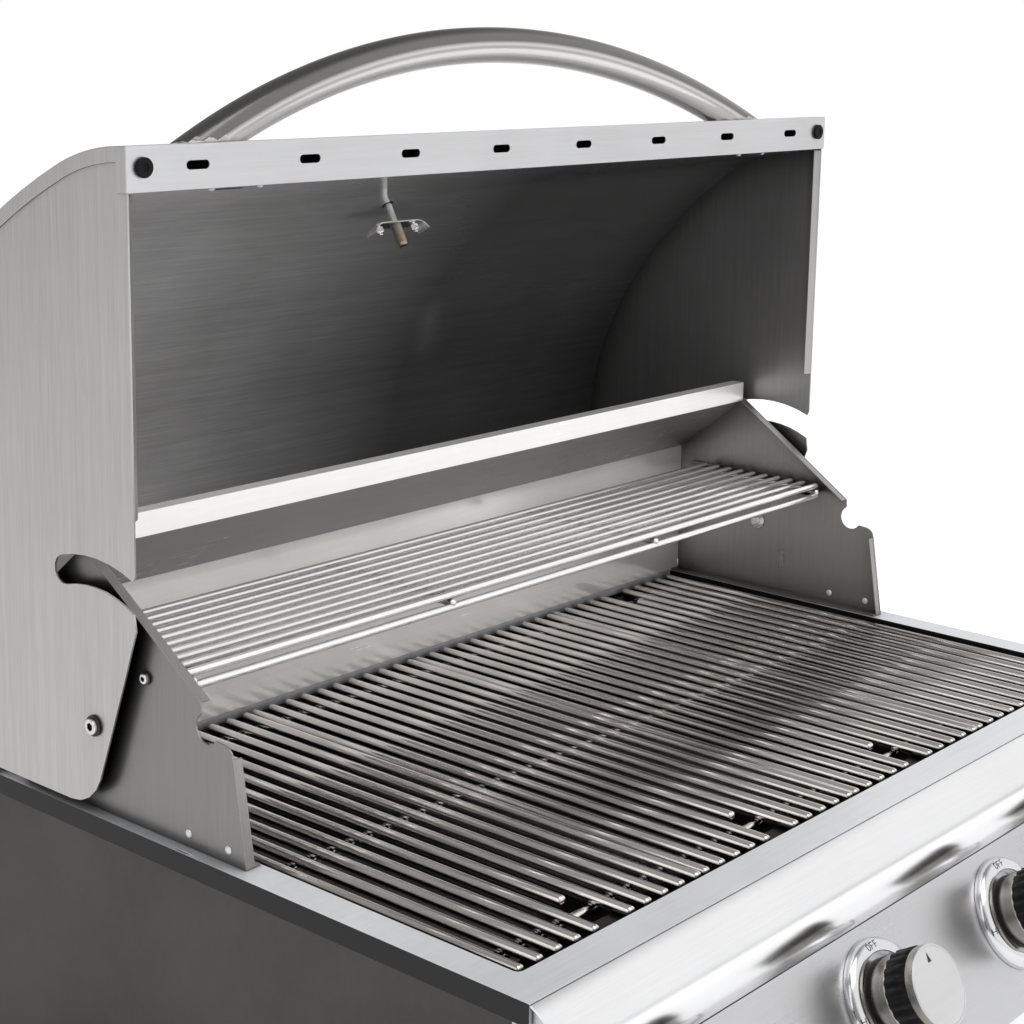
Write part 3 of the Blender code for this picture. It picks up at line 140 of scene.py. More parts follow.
BUMPER_DISH_DEPTH = 0.0010

HANDLE_RADIUS = 0.014
HANDLE_HALF_ANGLE = 28
HANDLE_BEND = (HOOD_HALF_WIDTH - 0.0592) / math.sin(math.radians(HANDLE_HALF_ANGLE))
HANDLE_APEX = (0.0055, 0.4586)
HANDLE_TILT = 14
HANDLE_STEPS = 72
HANDLE_SIDES = 48

DIAL_RADIUS = 0.033
DIAL_HEIGHT = 0.009
DIAL_X = -0.060
DIAL_HEADING = 29.5
DIAL_RIM = 0.0035
DIAL_SOFT = 0.002
DIAL_FOOT = 0.0006
DIAL_WELL = 0.004
DIAL_START = 225
DIAL_SWEEP = 270
DIAL_TICKS = 31
DIAL_STEP = 5
LONG_TICK = (0.0215, 0.0004)
SHORT_TICK = (0.0235, 0.0002)
TICK_END = 0.0262
STEM_LENGTH = 0.062
STEM_RADIUS = 0.003
STEM_TIP_LENGTH = 0.020
THREADS = 18
THREAD_PITCH = 0.001
THREAD_ROOT = 0.0036
THREAD_CREST = 0.0044
DRILL_RADIUS = 0.005
DRILL_TOP = 0.006
STRAP_LENGTH = 0.060
STRAP_WIDTH = 0.013
STRAP_LEVEL = 0.044
STRAP_BEND = 0.011
STRAP_HOLE = 0.0048
STRAP_NUT_INSET = 0.010

ROLL_RADIUS = 0.0433
ROLL_SETBACK = 0.0177
ROLL_Y = -DECK_DEPTH / 2 + ROLL_SETBACK
ROLL_Z = DECK_TOP - 0.0395
ROLL_END = 205
PANEL_SLOPE = 30.7
KNOBS = 4
KNOB_PITCH = ZONE_PITCH - 0.0072
KNOB_DOWN_PANEL = 0.0505
BEZEL_RADIUS = 0.0416
BEZEL_HOLE = 0.0308
BEZEL_HEIGHT = 0.0087
BEZEL_EDGE = 0.0012
BEZEL_CREST = 0.0335
BEZEL_ROLL = 0.0014
KNOB_STANDOFF = 0.005
KNOB_BASE_TOP = 0.0224
KNOB_GRIP_TOP = 0.0402
KNOB_TOP = 0.0474
KNOB_BASE_RADIUS = 0.0268
KNOB_GRIP_RADIUS = 0.0284
KNOB_CORE_RADIUS = 0.0225
KNOB_FACE_RADIUS = 0.0278
GRIP_RIBS = 22
GRIP_GROOVE = 0.0014
GRIP_STEPS = 8
GRIP_SOFT = 0.0007
GRIP_HOLE = KNOB_CORE_RADIUS + 0.0002
KNOB_EDGE = 0.0009
KNOB_BORE = 0.0043
KNOB_BORE_TOP = 0.029
HEAD_EDGE = 0.0004
FACE_RECESS = 0.0008
FACE_RECESS_RADIUS = KNOB_FACE_RADIUS - 0.0018
POINTER_LENGTH = 0.007
POINTER_WIDTH = 0.0042
POINTER_FROM_EDGE = 0.0045
POINTER_SINK = 0.0003
POINTER_RISE = 0.00008

# Bolts, rivets and the small bumps on the deck; a head is its radius, height and collar radius
HINGE_HEAD = (0.0056, 0.0042, 0.0074)
LEDGE_HEAD = (0.0036, 0.0042, 0.0044)
LEDGE_SCREW = (0.0641, 0.3319)
BOLT_SOFT = 0.0006
COLLAR_SHARE = 0.35
SOCKET_SHARE = 0.55
SHANK_RADIUS = 0.0039
SHANK_PAST = 0.001
NUT_HOLE = 0.0036
NUT_RADIUS = 0.0065
WASHER_HOLE = 0.0037
WASHER_RADIUS = 0.0076
WASHER_SEAT = 0.0012
SPACER_HOLE = 0.0041
SPACER_RADIUS = 0.009
FOOT_RIVETS = (0.0236, -0.0161)
FOOT_RIVET_Z = 0.2331
FOOT_RIVET_SIZE = (0.0030, 0.0013)
DOME_SINK = 0.0002
DECK_BUMP = (0.4036, 0.0210)
DECK_BUMP_SIZE = (0.0016, 0.0095, 0.0009)

# Fineness of the meshes
FINE_STEP = 2
ROUND_SIDES = 96
BEAD_LEVELS = (-60, -30, 0, 30, 60)
NODE_SMOOTH = 30
NODE_MERGE = 0.00001

# Light in reflections and as fill
FILL_LEVEL = 0.45
DIM_BACK = 0.6
DIM_UP = 0.8
DIM_FROM = 0.35
DIM_FULL = 0.75
DIM_LEVEL = 0.30

# Floor and camera
FLOOR_HALF = 30
FLOOR_COLOUR = (0.92, 0.92, 0.92)
FLOOR_GLOW = 0.65
FLOOR_MIRRORED = 0.20
CAMERA_PLACE = (-1.19392, -0.94285, 0.76343)
CAMERA_TURNS = (79.0197, -0.9483, -48.9834)
CAMERA_LENS = 69.45
CAMERA_SHIFT = -0.1

# Filled by make_materials
MATERIALS = {}


def cosine(angle):
    return math.cos(math.radians(angle))


def sine(angle):
    return math.sin(math.radians(angle))


# Outlines

def arc(centre, radius, start, end, step=FINE_STEP):
    """Points on a circle from one angle to another, in degrees."""
    count = max(1, round(abs(end - start) / step))
    angles = [start + (end - start) * i / count for i in range(count + 1)]
    return [(centre[0] + radius * cosine(a), centre[1] + radius * sine(a)) for a in angles]


def circle(centre, radius, sides):
    return arc(centre, radius, 0, 360, 360 / sides)[:-1]


def offset_path(path, distance):
    """The path moved to the left of its own direction, with mitred corners."""
    points = [Vector(p) for p in path]
    moved = []
    for i, point in enumerate(points):
        before = (point - points[i - 1]).normalized() if i > 0 else None
        after = (points[i + 1] - point).normalized() if i < len(points) - 1 else None
        before = before or after
        after = after or before
        left = Vector((-before.y, before.x))
        mean = (left + Vector((-after.y, after.x))).normalized()
        moved.append(tuple(point + mean * distance / mean.dot(left)))
    return moved


def bent_sheet(path, thickness):
    """Closed outline of a sheet bent along a path, thick to the left of it."""
    return list(path) + offset_path(path, thickness)[::-1]


def rolled_path(start, headings, radii, step=FINE_STEP):
    """Arcs joined end to end; a heading is degrees below straight back."""
    points = [start]
    for radius, first, last in zip(radii, headings, headings[1:]):
        y, z = points[-1]
        centre = (y - radius * sine(first), z - radius * cosine(first))
        points += arc(centre, radius, 90 - first, 90 - last, step)[1:]
    return points


def rectangle(left, bottom, right, top):
    return [(left, bottom), (right, bottom), (right, top), (left, top)]


def stadium(centre, length, height, step=12):
    reach = (length - height) / 2
    right = arc((centre[0] + reach, centre[1]), height / 2, -90, 90, step)
    left = arc((centre[0] - reach, centre[1]), height / 2, 90, 270, step)
    return right + left


# Meshes

def on_axis(point, level, axis):
    a, b = point
    return {"X": (level, a, b), "Y": (a, level, b), "Z": (a, b, level)}[axis]


def prism(outline, low, high, axis, holes=()):
    """An outline, with any holes, extruded between two levels of an axis."""
    bm = bmesh.new()
    edges = []
    for loop in [outline, *holes]:
        verts = [bm.verts.new(on_axis(p, low, axis)) for p in loop]
        edges += [bm.edges.new((v, verts[i - 1])) for i, v in enumerate(verts)]
    if holes:
        normal = Vector(on_axis((0, 0), 1, axis))
        bmesh.ops.triangle_fill(bm, edges=edges, use_beauty=True, normal=normal)
    else:
        bm.faces.new(list(bm.verts))
    lifted = bmesh.ops.extrude_face_region(bm, geom=list(bm.faces))["geom"]
    shift = Vector(on_axis((0, 0), high - low, axis))
    bmesh.ops.translate(bm, verts=[v for v in lifted if isinstance(v, bmesh.types.BMVert)], vec=shift)
    return bm


def join_rings(bm, first, second):
    for i, vert in enumerate(first):
        bm.faces.new((vert, first[i - 1], second[i - 1], second[i]))


def close_tube(bm, rings):
    """Faces between neighbouring rings, and one over each end."""
    for first, second in zip(rings, rings[1:]):
        join_rings(bm, first, second)
    bm.faces.new(rings[0])
    bm.faces.new(rings[-1])


def turned(profile, sides=ROUND_SIDES):
    """A profile of (radius, height) turned round Z; a ring unless it meets the axis."""
    bm = bmesh.new()
    rings = []
    for radius, height in profile:
        if radius == 0:
            rings.append([bm.verts.new((0, 0, height))])
        else:
            rings.append([bm.verts.new((*p, height)) for p in circle((0, 0), radius, sides)])
    pairs = list(zip(rings, rings[1:]))
    if profile[0][0] > 0:
        pairs.append((rings[-1], rings[0]))
    for first, second in pairs:
        if len(first) == 1 or len(second) == 1:
            tip, ring = sorted((first, second), key=len)
            for i, vert in enumerate(ring):
                bm.faces.new((vert, ring[i - 1], tip[0]))
        else:
            join_rings(bm, first, second)
    return bm


def flat_ring(inner, outer, low, high, sides=ROUND_SIDES):
    """A plain ring turned round Z, or a disc where its inner radius is 0."""
    return turned([(inner, low), (outer, low), (outer, high), (inner, high)], sides)


def sweep(bm, path, radii, sides, up):
    """A round bar along a path, with its own radius at each point, closed at both ends."""
    points = [Vector(p) for p in path]
    rings = []
    for i, point in enumerate(points):
        along = (points[min(i + 1, len(points) - 1)] - points[max(i - 1, 0)]).normalized()
        side = along.cross(Vector(up)).normalized()
        rise = side.cross(along)
        spokes = circle((0, 0), radii[i], sides)
        rings.append([bm.verts.new(point + side * a + rise * b) for a, b in spokes])
    close_tube(bm, rings)


ROD_DOME = ((0, 0.35), (0.12, 0.68), (0.35, 0.90), (0.7, 1.0))


def domed_rod(bm, start, end, radius, sides=20):
    """A straight round rod whose ends are rounded over."""
    start = Vector(start)
    end = Vector(end)
    along = (end - start).normalized() * radius
    path = [start + along * reach for reach, share in ROD_DOME]
    path += [end - along * reach for reach, share in reversed(ROD_DOME)]
    shares = [share for reach, share in ROD_DOME]
    radii = [radius * share for share in shares + shares[::-1]]
    up = (1, 0, 0) if abs(along.z) > abs(along.x) + abs(along.y) else (0, 0, 1)
    sweep(bm, path, radii, sides, up)


def bead(bm, centre, reach, sides=8):
    """A small rounded lump; reach is its half sizes along X, Y and Z."""
    rings = []
    for level in BEAD_LEVELS:
        ring = []
        for a, b in circle((0, 0), cosine(level), sides):
            offset = (a * reach[0], b * reach[1], sine(level) * reach[2])
            ring.append(bm.verts.new(Vector(centre) + Vector(offset)))
        rings.append(ring)
    close_tube(bm, rings)


def joined(*meshes):
    """Several meshes as one, left as separate shells."""
    whole = bmesh.new()
    for bm in meshes:
        spare = to_mesh("spare", bm)
        whole.from_mesh(spare)
        bpy.data.meshes.remove(spare)
    return whole


def put(bm, place=(0, 0, 0), angle=0, axis="X"):
    """Turn a mesh about an axis, then move it."""
    bm.transform(Matrix.Translation(place) @ Matrix.Rotation(math.radians(angle), 4, axis))
    return bm


def on_side(bm, place, side):
    """Turn a mesh so that its Z points out to a side, then move it."""
    return put(bm, place, 90 * side, "Y")


def to_mesh(name, bm):
    mesh = bpy.data.meshes.new(name)
    bm.to_mesh(mesh)
    bm.free()
    return mesh


def new_object(name, data):
    made = bpy.data.objects.new(name, data)
    bpy.context.collection.objects.link(made)
    return made


def new_piece(name, bm, material, body, smooth=30, replaces=()):
    """Make an object of a mesh, let it ride on a body and stand for its CAD nodes."""
    bmesh.ops.recalc_face_normals(bm, faces=bm.faces)
    mesh = to_mesh(name, bm)
    mesh.materials.append(MATERIALS[material])
    mesh.shade_smooth()
    mesh.set_sharp_from_angle(angle=math.radians(smooth))
    piece = new_object(name, mesh)
    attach(piece, body)
    if replaces:
        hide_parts(*replaces)
    return piece


def paint(piece, material, chosen):
    """Give another material to the faces of a piece that a test chooses."""
    piece.data.materials.append(MATERIALS[material])
    slot = len(piece.data.materials) - 1
    for face in piece.data.polygons:
        if chosen(face):
            face.material_index = slot


def cut(piece, tool_mesh):
    """Cut a closed mesh out of a piece."""
    bmesh.ops.recalc_face_normals(tool_mesh, faces=tool_mesh.faces)
    tool = new_object("tool", to_mesh("tool", tool_mesh))
    modifier = piece.modifiers.new("cut", "BOOLEAN")
    modifier.operation = "DIFFERENCE"
    modifier.solver = "EXACT"
    modifier.object = tool
    depsgraph = bpy.context.evaluated_depsgraph_get()
    shaped = bpy.data.meshes.new_from_object(piece.evaluated_get(depsgraph))
    piece.modifiers.clear()
    piece.data = shaped
    bpy.data.objects.remove(tool)


def dress(name, material):
    """Give a CAD node its material, and smooth its rounded faces."""
    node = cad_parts[name]
    node.data.materials.clear()
    node.data.materials.append(MATERIALS[material])
    bpy.context.view_layer.objects.active = node
    if node.data.has_custom_normals:
        bpy.ops.mesh.customdata_custom_splitnormals_clear()
    node.data.shade_smooth()
    weld = node.modifiers.new("weld", "WELD")
    weld.merge_threshold = NODE_MERGE
    split = node.modifiers.new("split", "EDGE_SPLIT")
    split.split_angle = math.radians(NODE_SMOOTH)


# Materials

class Graph:
    """The node tree of a material or a world, built from its shader backwards."""

    def __init__(self, owner, shader="Principled BSDF"):
        owner.use_nodes = True
        self.tree = owner.node_tree
        self.shader = self.tree.nodes[shader]

    def add(self, kind, values=None, **settings):
        """A new node; each value is a constant, or another node's output to link."""
        node = self.tree.nodes.new(kind)
        for key, setting in settings.items():
            setattr(node, key, setting)
        for socket, value in (values or {}).items():
            if isinstance(value, bpy.types.NodeSocket):
                self.tree.links.new(value, node.inputs[socket])
            else:
                node.inputs[socket].default_value = value
        return node

    def feed(self, socket, source):
        """Let a value drive one of the shader's sockets."""
        self.tree.links.new(source, self.shader.inputs[socket])

    def noise(self, scale, detail, roughness=0.5, stretch=(1, 1, 1)):
        """Noise in the object's own space, stretched along each axis."""
        place = self.add("ShaderNodeTexCoord").outputs["Object"]
        mapping = self.add("ShaderNodeMapping", {"Vector": place, "Scale": [scale * s for s in stretch]})
        values = {"Vector": mapping.outputs["Vector"], "Scale": 1.0, "Detail": detail, "Roughness": roughness}
        return self.add("ShaderNodeTexNoise", values).outputs["Fac"]

    def spread(self, value, low, high, start=0.25, end=0.75, **settings):
        """A value between two limits becomes a number between two others."""
        values = {"Value": value, "From Min": start, "From Max": end, "To Min": low, "To Max": high}
        return self.add("ShaderNodeMapRange", values, **settings).outputs["Result"]

    def math(self, operation, first, second):
        return self.add("ShaderNodeMath", {0: first, 1: second}, operation=operation).outputs[0]

    def toned(self, shade, measure, low, high, span):
        """The shade, multiplied by a number that follows a measure over a span, to paint shade and light."""
        return self.math("MULTIPLY", shade, self.spread(measure, low, high, *span))

    def tint(self, colour, factor):
        """The colour multiplied by a number that varies over the surface."""
        node = self.add("ShaderNodeVectorMath", {0: colour, "Scale": factor}, operation="SCALE")
        return node.outputs["Vector"]

    def own(self, measure, axis):
        """One axis of a coordinate: Normal is how a face is turned, Object is where it lies."""
        place = self.add("ShaderNodeTexCoord").outputs[measure]
        return self.add("ShaderNodeSeparateXYZ", {0: place}).outputs[axis]

    def openness(self, reach):
        """Small where another surface stands close by."""
        return self.add("ShaderNodeAmbientOcclusion", {"Distance": reach}, samples=4).outputs["AO"]

    def edges(self, radius):
        """The rounded normal, and how far it turns from the flat one at an edge."""
        rounded = self.add("ShaderNodeBevel", {"Radius": radius}, samples=4).outputs["Normal"]
        flat = self.add("ShaderNodeNewGeometry").outputs["Normal"]
        across = self.add("ShaderNodeVectorMath", {0: rounded, 1: flat}, operation="DOT_PRODUCT")
        return rounded, self.math("SUBTRACT", 1.0, across.outputs["Value"])

    def bump(self, height, normal, strength, depth):
        values = {"Height": height, "Normal": normal, "Strength": strength, "Distance": depth}
        self.feed("Normal", self.add("ShaderNodeBump", values).outputs["Normal"])


def new_material(key):
    """A new material, kept under its key, and its node tree."""
    MATERIALS[key] = bpy.data.materials.new(f"{key}_finish")
    return Graph(MATERIALS[key])


# Patterns in the materials, by how fine they are
FINE_GRAIN = 1500
BROAD_GRAIN = 160
HANDLING_MARKS = 7
PEBBLES = 900
DUST = 60
PRINT_WEAR = 700
GLASS_SMEAR = 40
FLOOR_SPECKLE = 3
ALONG = {"X": (0.012, 1, 1), "Y": (1, 0.012, 1), "Z": (1, 1, 0.012)}

# Painted shade and light on faces by how they are turned and where they lie, and where surfaces stand close:
# where each change of tone starts and where it is full
SIDES_SPAN = (0.4, 0.9)
TOPS_SPAN = (0.10, 0.28)
UNDERSIDES_SPAN = (-0.5, -0.2)
INSIDE_SPAN = (-0.1, 0.1)
RIGHT_SPAN = (-0.24, 0.10)
CREVICE_SPAN = (0.25, 0.85)

# Strength of the painted edge highlight at most, then roughness and dents of metal
EDGE_HIGHLIGHT_MOST = 0.5
ROUGH_LOW = 0.85
ROUGH_HIGH = 1.2
ROUGH_GRAIN = 0.35
DENT_DEPTH = 0.0003
# Rubber: rounding of edges, strength of their painted highlight, and depth of the pebbles
RUBBER_EDGE = 0.0004
RUBBER_SHINE = 1.5
PEBBLE_DEPTH = 0.0002

# What metal uses where a material says nothing else; shine sets the painted highlight on edges, and tones are
# shares of the full colour, painting shade below 1 and light above 1
STEEL = {"hair": 0.10, "cloud": 0.06, "dents": 0.10, "edge": 0.0006, "shine": 0.35,
         "metallic": 1.0, "sides": 1.0, "tops": 1.0, "undersides": 1.0, "inside": 1.0, "right": 1.0,
         "crevice": 1.0, "reach": 0.04}


def metal(key, colour, roughness, grain, **changes):
    """Bare metal: hairline grain along an axis, cloudy handling marks, a painted highlight on its edges, and
    painted shade and light as its tones ask.
    """
    look = {**STEEL, **changes}
    hair = look["hair"]
    graph = new_material(key)
    fine = graph.noise(FINE_GRAIN, 2.0, stretch=ALONG[grain])
    broad = graph.noise(BROAD_GRAIN, 3.0, stretch=ALONG[grain])
    marks = graph.noise(HANDLING_MARKS, 5.0, 0.6)
    normal, edge_highlight = graph.edges(look["edge"])
    lines = graph.math("ADD", graph.spread(fine, -hair, hair), graph.spread(broad, -hair / 2, hair / 2))
    shade = graph.math("ADD", graph.spread(marks, 1 - look["cloud"], 1 + look["cloud"]), lines)
    # Painted shade and light: darker or lighter on faces turned sideways, up, down or inwards, towards the
    # right, and where other surfaces stand close
    if look["sides"] != 1:
        sideways = graph.math("ABSOLUTE", graph.own("Normal", "X"), 0.0)
        shade = graph.toned(shade, sideways, 1.0, look["sides"], SIDES_SPAN)
    if look["tops"] != 1:
        shade = graph.toned(shade, graph.own("Normal", "Z"), 1.0, look["tops"], TOPS_SPAN)
    if look["undersides"] != 1:
        shade = graph.toned(shade, graph.own("Normal", "Z"), look["undersides"], 1.0, UNDERSIDES_SPAN)
    if look["inside"] != 1:
        outward = graph.math("MULTIPLY", graph.own("Normal", "X"), graph.own("Object", "X"))
        shade = graph.toned(shade, outward, look["inside"], 1.0, INSIDE_SPAN)
    if look["right"] != 1:
        shade = graph.toned(shade, graph.own("Object", "X"), 1.0, look["right"], RIGHT_SPAN)
    if look["crevice"] != 1:
        shade = graph.toned(shade, graph.openness(look["reach"]), look["crevice"], 1.0, CREVICE_SPAN)
    # Painted highlight: edges lightened in the base colour, as much as shine says
    lift = graph.math("MULTIPLY", graph.math("MINIMUM", edge_highlight, EDGE_HIGHLIGHT_MOST), look["shine"])
    graph.feed("Base Color", graph.tint(colour, graph.math("ADD", shade, lift)))
    cloudy = graph.spread(marks, roughness * ROUGH_LOW, roughness * ROUGH_HIGH)
    graph.feed("Roughness", graph.math("ADD", cloudy, graph.math("MULTIPLY", lines, ROUGH_GRAIN)))
    graph.bump(fine, normal, look["dents"], DENT_DEPTH)
    graph.shader.inputs["Metallic"].default_value = look["metallic"]


def rubber(key, colour, roughness):
    """Moulded rubber: fine pebbled skin with a little dust in it, and a painted highlight on its edges."""
    graph = new_material(key)
    pebble = graph.noise(PEBBLES, 3.0)
    dust = graph.noise(DUST, 4.0)
    normal, edge_highlight = graph.edges(RUBBER_EDGE)
    # Painted highlight: rubber edges lightened in the base colour
    shade = graph.math("ADD", graph.spread(dust, 0.8, 1.3), graph.math("MULTIPLY", edge_highlight, RUBBER_SHINE))
    graph.feed("Base Color", graph.tint(colour, shade))
    graph.feed("Roughness", graph.spread(pebble, roughness - 0.08, roughness + 0.1))
    graph.shader.inputs["Specular IOR Level"].default_value = 0.2
    graph.bump(pebble, normal, 0.25, PEBBLE_DEPTH)


def ink(key, colour):
    """Printed or engraved marks, slightly uneven."""
    graph = new_material(key)
    wear = graph.noise(PRINT_WEAR, 3.0)
    graph.feed("Base Color", graph.tint(colour, graph.spread(wear, 0.7, 1.4)))
    graph.feed("Roughness", graph.spread(wear, 0.45, 0.6))


def glass(key):
    """Thin clear window of the thermometer."""
    graph = new_material(key)
    graph.feed("Roughness", graph.spread(graph.noise(GLASS_SMEAR, 4.0), 0.02, 0.08))
    graph.shader.inputs["Base Color"].default_value = (0.95, 0.97, 0.97, 1)
    graph.shader.inputs["Transmission Weight"].default_value = 1.0
    graph.shader.inputs["IOR"].default_value = 1.45


def make_materials():
    # Painted shade: hood sides darker on their inner faces and where the windshields stand close
    metal("hood_side", (0.60, 0.59, 0.585), 0.34, "Z", crevice=0.1, metallic=0.85, inside=0.80)
    metal("hood_skin", (0.74, 0.74, 0.75), 0.32, "X", hair=0.03, cloud=0.02, metallic=0.9)
    # Painted shade: the liner darker towards the right
    metal("liner", (0.84, 0.83, 0.83), 0.15, "X", hair=0.14, cloud=0.16, metallic=0.58, right=0.17)
    # Painted reflection: the handle darker on top, as if it mirrored a dark ceiling
    metal("handle", (0.66, 0.65, 0.64), 0.20, "X", hair=0.04, cloud=0.04, tops=0.28)
    # Painted shade: the deck nearly black on faces turned sideways, and darker where surfaces stand close
    metal("deck", (0.96, 0.97, 1.00), 0.40, "X", hair=0.04, metallic=0.5, sides=0.02, crevice=0.25)
    metal("roll", (0.86, 0.86, 0.87), 0.17, "X", hair=0.02, cloud=0.03, dents=0.02)
    metal("panel", (0.60, 0.60, 0.61), 0.28, "X", hair=0.03, metallic=0.9)
    # Painted shade: the rear wall darker on faces turned down
    metal("wall", (0.96, 0.95, 0.94), 0.24, "X", hair=0.04, dents=0.05, metallic=0.45, undersides=0.35)
    # Painted shade and light: windshields dark on their outer faces, 1.7 times lighter on their inner faces,
    # and nearly black where surfaces stand close
    metal("wing", (0.29, 0.285, 0.28), 0.32, "Z", hair=0.06, crevice=0.05, metallic=0.85, inside=1.70)
    # Painted shade: grate rods nearly black where other rods stand close, which leaves a narrow bright band
    # along the top
    metal("rod", (0.90, 0.86, 0.82), 0.12, "Y", cloud=0.12, dents=0.03, crevice=0.04, reach=0.035)
    # Painted shade: the warming rack darker where rods stand close
    metal("rack", (0.97, 0.96, 0.95), 0.16, "X", hair=0.04, dents=0.05, metallic=0.8, crevice=0.15,
          reach=0.02)
    metal("tamer", (0.16, 0.15, 0.14), 0.34, "Y", hair=0.12, cloud=0.2)
    # Painted shade: the firebox and heat dividers nearly black for the shade they stand in below the deck
    metal("box", (0.085, 0.083, 0.08), 0.34, "X", hair=0.08, cloud=0.25)
    metal("tray", (0.50, 0.495, 0.49), 0.36, "X", hair=0.06, cloud=0.12, metallic=0.85)
    metal("burner", (0.17, 0.155, 0.14), 0.40, "Y", cloud=0.25)
    metal("brass", (0.66, 0.50, 0.26), 0.30, "X", hair=0.05, cloud=0.10)
    metal("pipe", (0.30, 0.30, 0.31), 0.35, "X", hair=0.06, cloud=0.12)
    metal("bolt", (0.84, 0.84, 0.84), 0.18, "X", hair=0.04, edge=0.0003)
    # Black for the collars and spacers, and painted shade inside the bolt sockets
    metal("collar", (0.03, 0.03, 0.03), 0.35, "X", edge=0.0003, metallic=0.5)
    metal("rivet", (0.92, 0.92, 0.92), 0.35, "X", hair=0.02, metallic=0.4)
    metal("weld", (0.92, 0.90, 0.88), 0.30, "X", hair=0.02, metallic=0.6)
    metal("stem_tip", (0.42, 0.36, 0.28), 0.28, "Z", edge=0.0002)
    metal("bezel", (0.74, 0.74, 0.75), 0.14, "Z", hair=0.03, dents=0.03)
    metal("knob", (0.34, 0.325, 0.30), 0.26, "Y", hair=0.02, cloud=0.03, dents=0.02)
    # Bright knob faces, and the painted highlight on the knobs' rounded edges
    metal("knob_face_and_highlight", (0.66, 0.66, 0.66), 0.34, "X", hair=0.02, cloud=0.03, metallic=0.8)
    rubber("rubber", (0.004, 0.004, 0.0045), 0.38)
    rubber("bumper", (0.004, 0.004, 0.004), 0.60)
    ink("ink", (0.012, 0.012, 0.012))
    ink("dial", (0.80, 0.79, 0.76))
    ink("needle", (0.55, 0.03, 0.02))
    glass("glass")


# Cooking surface

def spaced(index, count, pitch):
    """Place of one of several things spread evenly about the middle."""
    return pitch * (index - (count - 1) / 2)


def zone_centre(index):
    return spaced(index, ZONES, ZONE_PITCH)


def make_grate(index):
    """Round rods with rounded ends on three cross rods, welded at every crossing."""
    bm = bmesh.new()
    welds = bmesh.new()
    centre = zone_centre(index)
    middle = RODS_PER_GRATE // 2
    last_zone = index == ZONES - 1
    middle_y = GRATE_FRONT + (GRATE_BACK - GRATE_FRONT) * CROSS_ROD_MIDDLE_SHARE
    cross_places = [GRATE_FRONT + CROSS_ROD_FRONT, middle_y, GRATE_BACK - CROSS_ROD_BACK]
    for number in range(RODS_PER_GRATE):
        x = centre + (number - middle) * ROD_PITCH
        low = GRATE_FRONT + (FINGER_GAP_FRONT if number == middle and not last_zone else 0)
        high = GRATE_BACK - (FINGER_GAP_BACK if number == middle and last_zone else 0)
        domed_rod(bm, (x, low, ROD_Z), (x, high, ROD_Z), ROD_RADIUS)
        for y in cross_places:
            for side in (-1, 1):
                if low < y < high:
                    bead(welds, (x + side * ROD_WELD_ASIDE, y, ROD_Z - ROD_RADIUS), ROD_WELD)
    reach = middle * ROD_PITCH + CROSS_ROD_PAST
    level = ROD_Z + (ROD_SINK - 2 * ROD_RADIUS)
    for y in cross_places:
        domed_rod(bm, (centre - reach, y, level), (centre + reach, y, level), ROD_RADIUS)
    name = f"grate_{index + 1}"
    new_piece(f"{name}_rods", bm, "rod", f"{name}_body", 50, [name])
    new_piece(f"{name}_welds", welds, "weld", f"{name}_body", 60)


def make_warming_rack():
    """Rods along X on four cross rods, with one lower rod at the front."""
    bm = bmesh.new()

    def rod(start, end):
        domed_rod(bm, start, end, RACK_RADIUS, RACK_SIDES)

    rows = [RACK_FRONT + number * RACK_PITCH for number in range(RACK_RODS)]
    for y in rows:
        rod((-RACK_HALF_LENGTH, y, RACK_Z), (RACK_HALF_LENGTH, y, RACK_Z))
    low_y = RACK_FRONT - RACK_LOW_ROD_FORWARD
    low_z = RACK_Z - RACK_LOW_ROD_DROP
    low_reach = RACK_HALF_LENGTH - RACK_LOW_ROD_SHORTER
    rod((-low_reach, low_y, low_z), (low_reach, low_y, low_z))
    level = RACK_Z - 2 * RACK_RADIUS + RACK_SINK
    for inset in RACK_CROSS_INSETS:
        for side in (-1, 1):
            x = side * (RACK_HALF_LENGTH - inset)
            rod((x, low_y - RACK_RADIUS, level), (x, rows[-1] + RACK_CROSS_BACK, level))
            for y in rows:
                bead(bm, (x, y, RACK_Z - RACK_WELD_DROP), RACK_WELD)
    new_piece("warming_rack_rods", bm, "rack", "rack", 50, ["warming_rack"])


